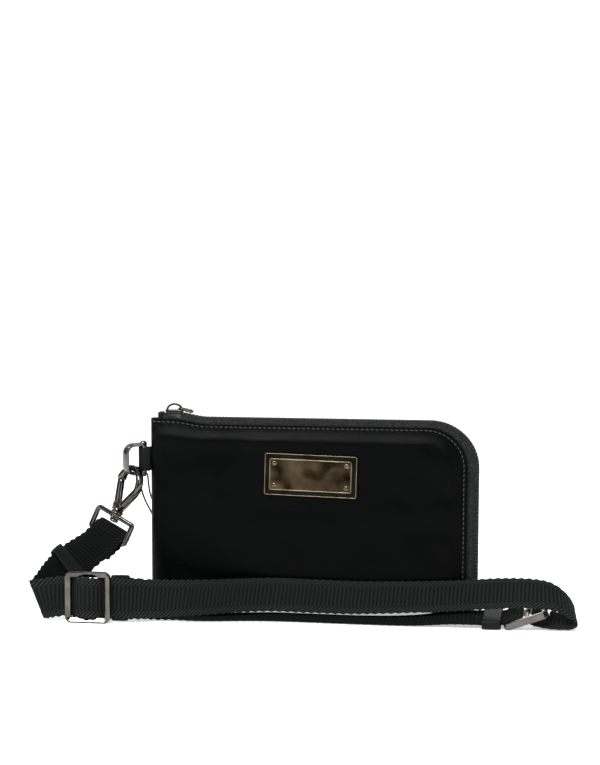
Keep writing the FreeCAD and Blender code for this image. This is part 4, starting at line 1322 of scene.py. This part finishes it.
gold_low = box_mm("nameplate")[0]
plate_rim = plate_ring("plate_rim", 58.6, 26.5, 0.6, 1.4, plate_low.y + 0.35)
declare(plate_rim, "pale_gold", "front_flap")
inner_rim = plate_ring("plate_inner_rim", 52.4, 20.2, 0.8, 0.9, gold_low.y + 0.35)
declare(inner_rim, "pale_gold", "front_flap")


RIVET_X, RIVET_Z = 22.9, 6.95


def rivet_domes():
    """Four domed rivet heads with a slight ridge at the rim."""
    points, faces = [], []
    around = 24
    rings = ((1.75, 0.0), (1.75, 0.22), (1.6, 0.42), (1.25, 0.66), (0.7, 0.84), (0.2, 0.9))
    for side_x in (-1, 1):
        for side_z in (-1, 1):
            base = len(points)
            centre = Vector((side_x * RIVET_X, 0, side_z * RIVET_Z))
            for radius, rise in rings:
                for step in range(around):
                    angle = 2 * math.pi * step / around
                    points.append(centre + Vector((radius * math.cos(angle), -rise,
                                                   radius * math.sin(angle))))
            turned = [tuple(reversed(face)) for face in ring_faces(len(rings), around, cap=True)]
            faces += shifted(turned, base)
    piece = mesh_piece("rivet_domes", points, faces, GOLD)
    place = Vector((PLATE.x, gold_low.y, PLATE.z)) * MM
    piece.data.transform(Matrix.Translation(place) @ PLATE_TURN)
    return piece


rivets = rivet_domes()
declare(rivets, "pale_gold", "front_flap", "nameplate_rivets")

# ------------------------------------------------------------------ tag string

STRING_ROUTE = [
    (-111.6, -3.7, 87.4), (-111.0, -5.0, 81.8), (-111.4, -4.0, 75.2), (-110.0, 1.4, 66.6),
    (-108.2, 7.4, 60.2), (-106.0, 10.6, 53.4), (-103.2, 11.6, 43.6), (-99.6, 11.2, 35.2),
    (-94.2, 11.0, 31.4), (-90.4, 11.4, 36.6), (-93.6, 11.8, 45.4), (-99.4, 11.4, 53.4), (-104.6, 10.6, 61.0),
    (-107.6, 6.4, 68.6), (-108.4, 4.2, 76.6), (-109.0, 4.0, 84.2),
]
STRING_DIAMETER, STRING_LENGTH = 1.1, 0.123
string_data = bpy.data.curves.new("tag_string_cord", "CURVE")
string_data.dimensions = "3D"
string_data.bevel_depth = STRING_DIAMETER / 2 * MM
string_data.bevel_resolution = 4
string_data.use_fill_caps = True
string_data.resolution_u = 16
string_spline = string_data.splines.new("NURBS")
string_spline.points.add(len(STRING_ROUTE) - 1)
for knot, point in zip(string_spline.points, STRING_ROUTE):
    knot.co = (*(Vector(point) * MM), 1.0)
string_spline.order_u = 3
string_spline.use_endpoint_u = True
string_data.materials.append(STRING)
tag_string = placed("tag_string_cord", string_data)
declare(tag_string, "string", "pouch", "tag_string")

# ------------------------------------------------------------------ carried-over nodes

SPECIAL = {"nameplate_frame": DARKMETAL, "nameplate": PLATE_GOLD}
for entry in frame["record"]["subparts"]:
    node = frame["nodes"][entry["node"]]
    node.data.materials.clear()
    node.data.materials.append(SPECIAL.get(entry["node"], SLOT_MATERIALS[entry["material_slot"]]))
    for polygon in node.data.polygons:
        polygon.material_index = 0

# ------------------------------------------------------------------ stage and light


def stage_material(name, tone):
    graph = Graph(name)
    graph.color(graph.mix(graph.noise(3.0), grey(tone * 0.985), grey(tone)))
    graph.rough(0.9)
    graph.shader.inputs["Emission Color"].default_value = (1.0, 1.0, 1.0, 1.0)
    graph.shader.inputs["Emission Strength"].default_value = 0.5
    return graph.material


def backdrop():
    """Pale floor that curves up into a wall far behind, in metres."""
    near, bend, high, half_width, steps = -3.0, 1.2, 4.5, 4.0, 12
    profile = [(near, 0.0), (bend, 0.0)]
    for step in range(1, steps + 1):
        angle = math.pi / 2 * step / steps
        profile.append((bend + bend * math.sin(angle), bend - bend * math.cos(angle)))
    profile.append((2 * bend, high))
    points = [Vector((side * half_width, depth, up)) / MM for depth, up in profile for side in (-1, 1)]
    faces = [(2 * index, 2 * index + 1, 2 * index + 3, 2 * index + 2)
             for index in range(len(profile) - 1)]
    mesh_piece("backdrop", points, faces, stage_material("stage_paper", 0.92))


backdrop()


def soft_light(name, place, size, power, target=(0.0, 0.0, 0.06)):
    data = bpy.data.lights.new(name, "AREA")
    data.shape = "RECTANGLE"
    data.size, data.size_y = size
    data.energy = power
    light = placed(name, data)
    light.location = place
    light.rotation_euler = (Vector(target) - Vector(place)).to_track_quat("-Z", "Y").to_euler()


soft_light("sheen_light", (-0.25, -1.0, 1.2), (1.1, 0.25), 30.0, (0.0, 0.0, 0.1))
soft_light("left_light", (-1.3, -0.6, 0.7), (0.5, 0.9), 6.0)
soft_light("right_light", (1.3, -0.6, 0.7), (0.5, 0.9), 6.0)
soft_light("top_light", (0.1, 0.7, 1.7), (1.8, 0.8), 7.0)

world = bpy.data.worlds.new("world")
bpy.context.scene.world = world
world.use_nodes = True
background = world.node_tree.nodes["Background"]
background.inputs[0].default_value = (1.0, 1.0, 1.0, 1.0)
background.inputs[1].default_value = 0.2
bpy.context.scene.view_settings.view_transform = "Standard"
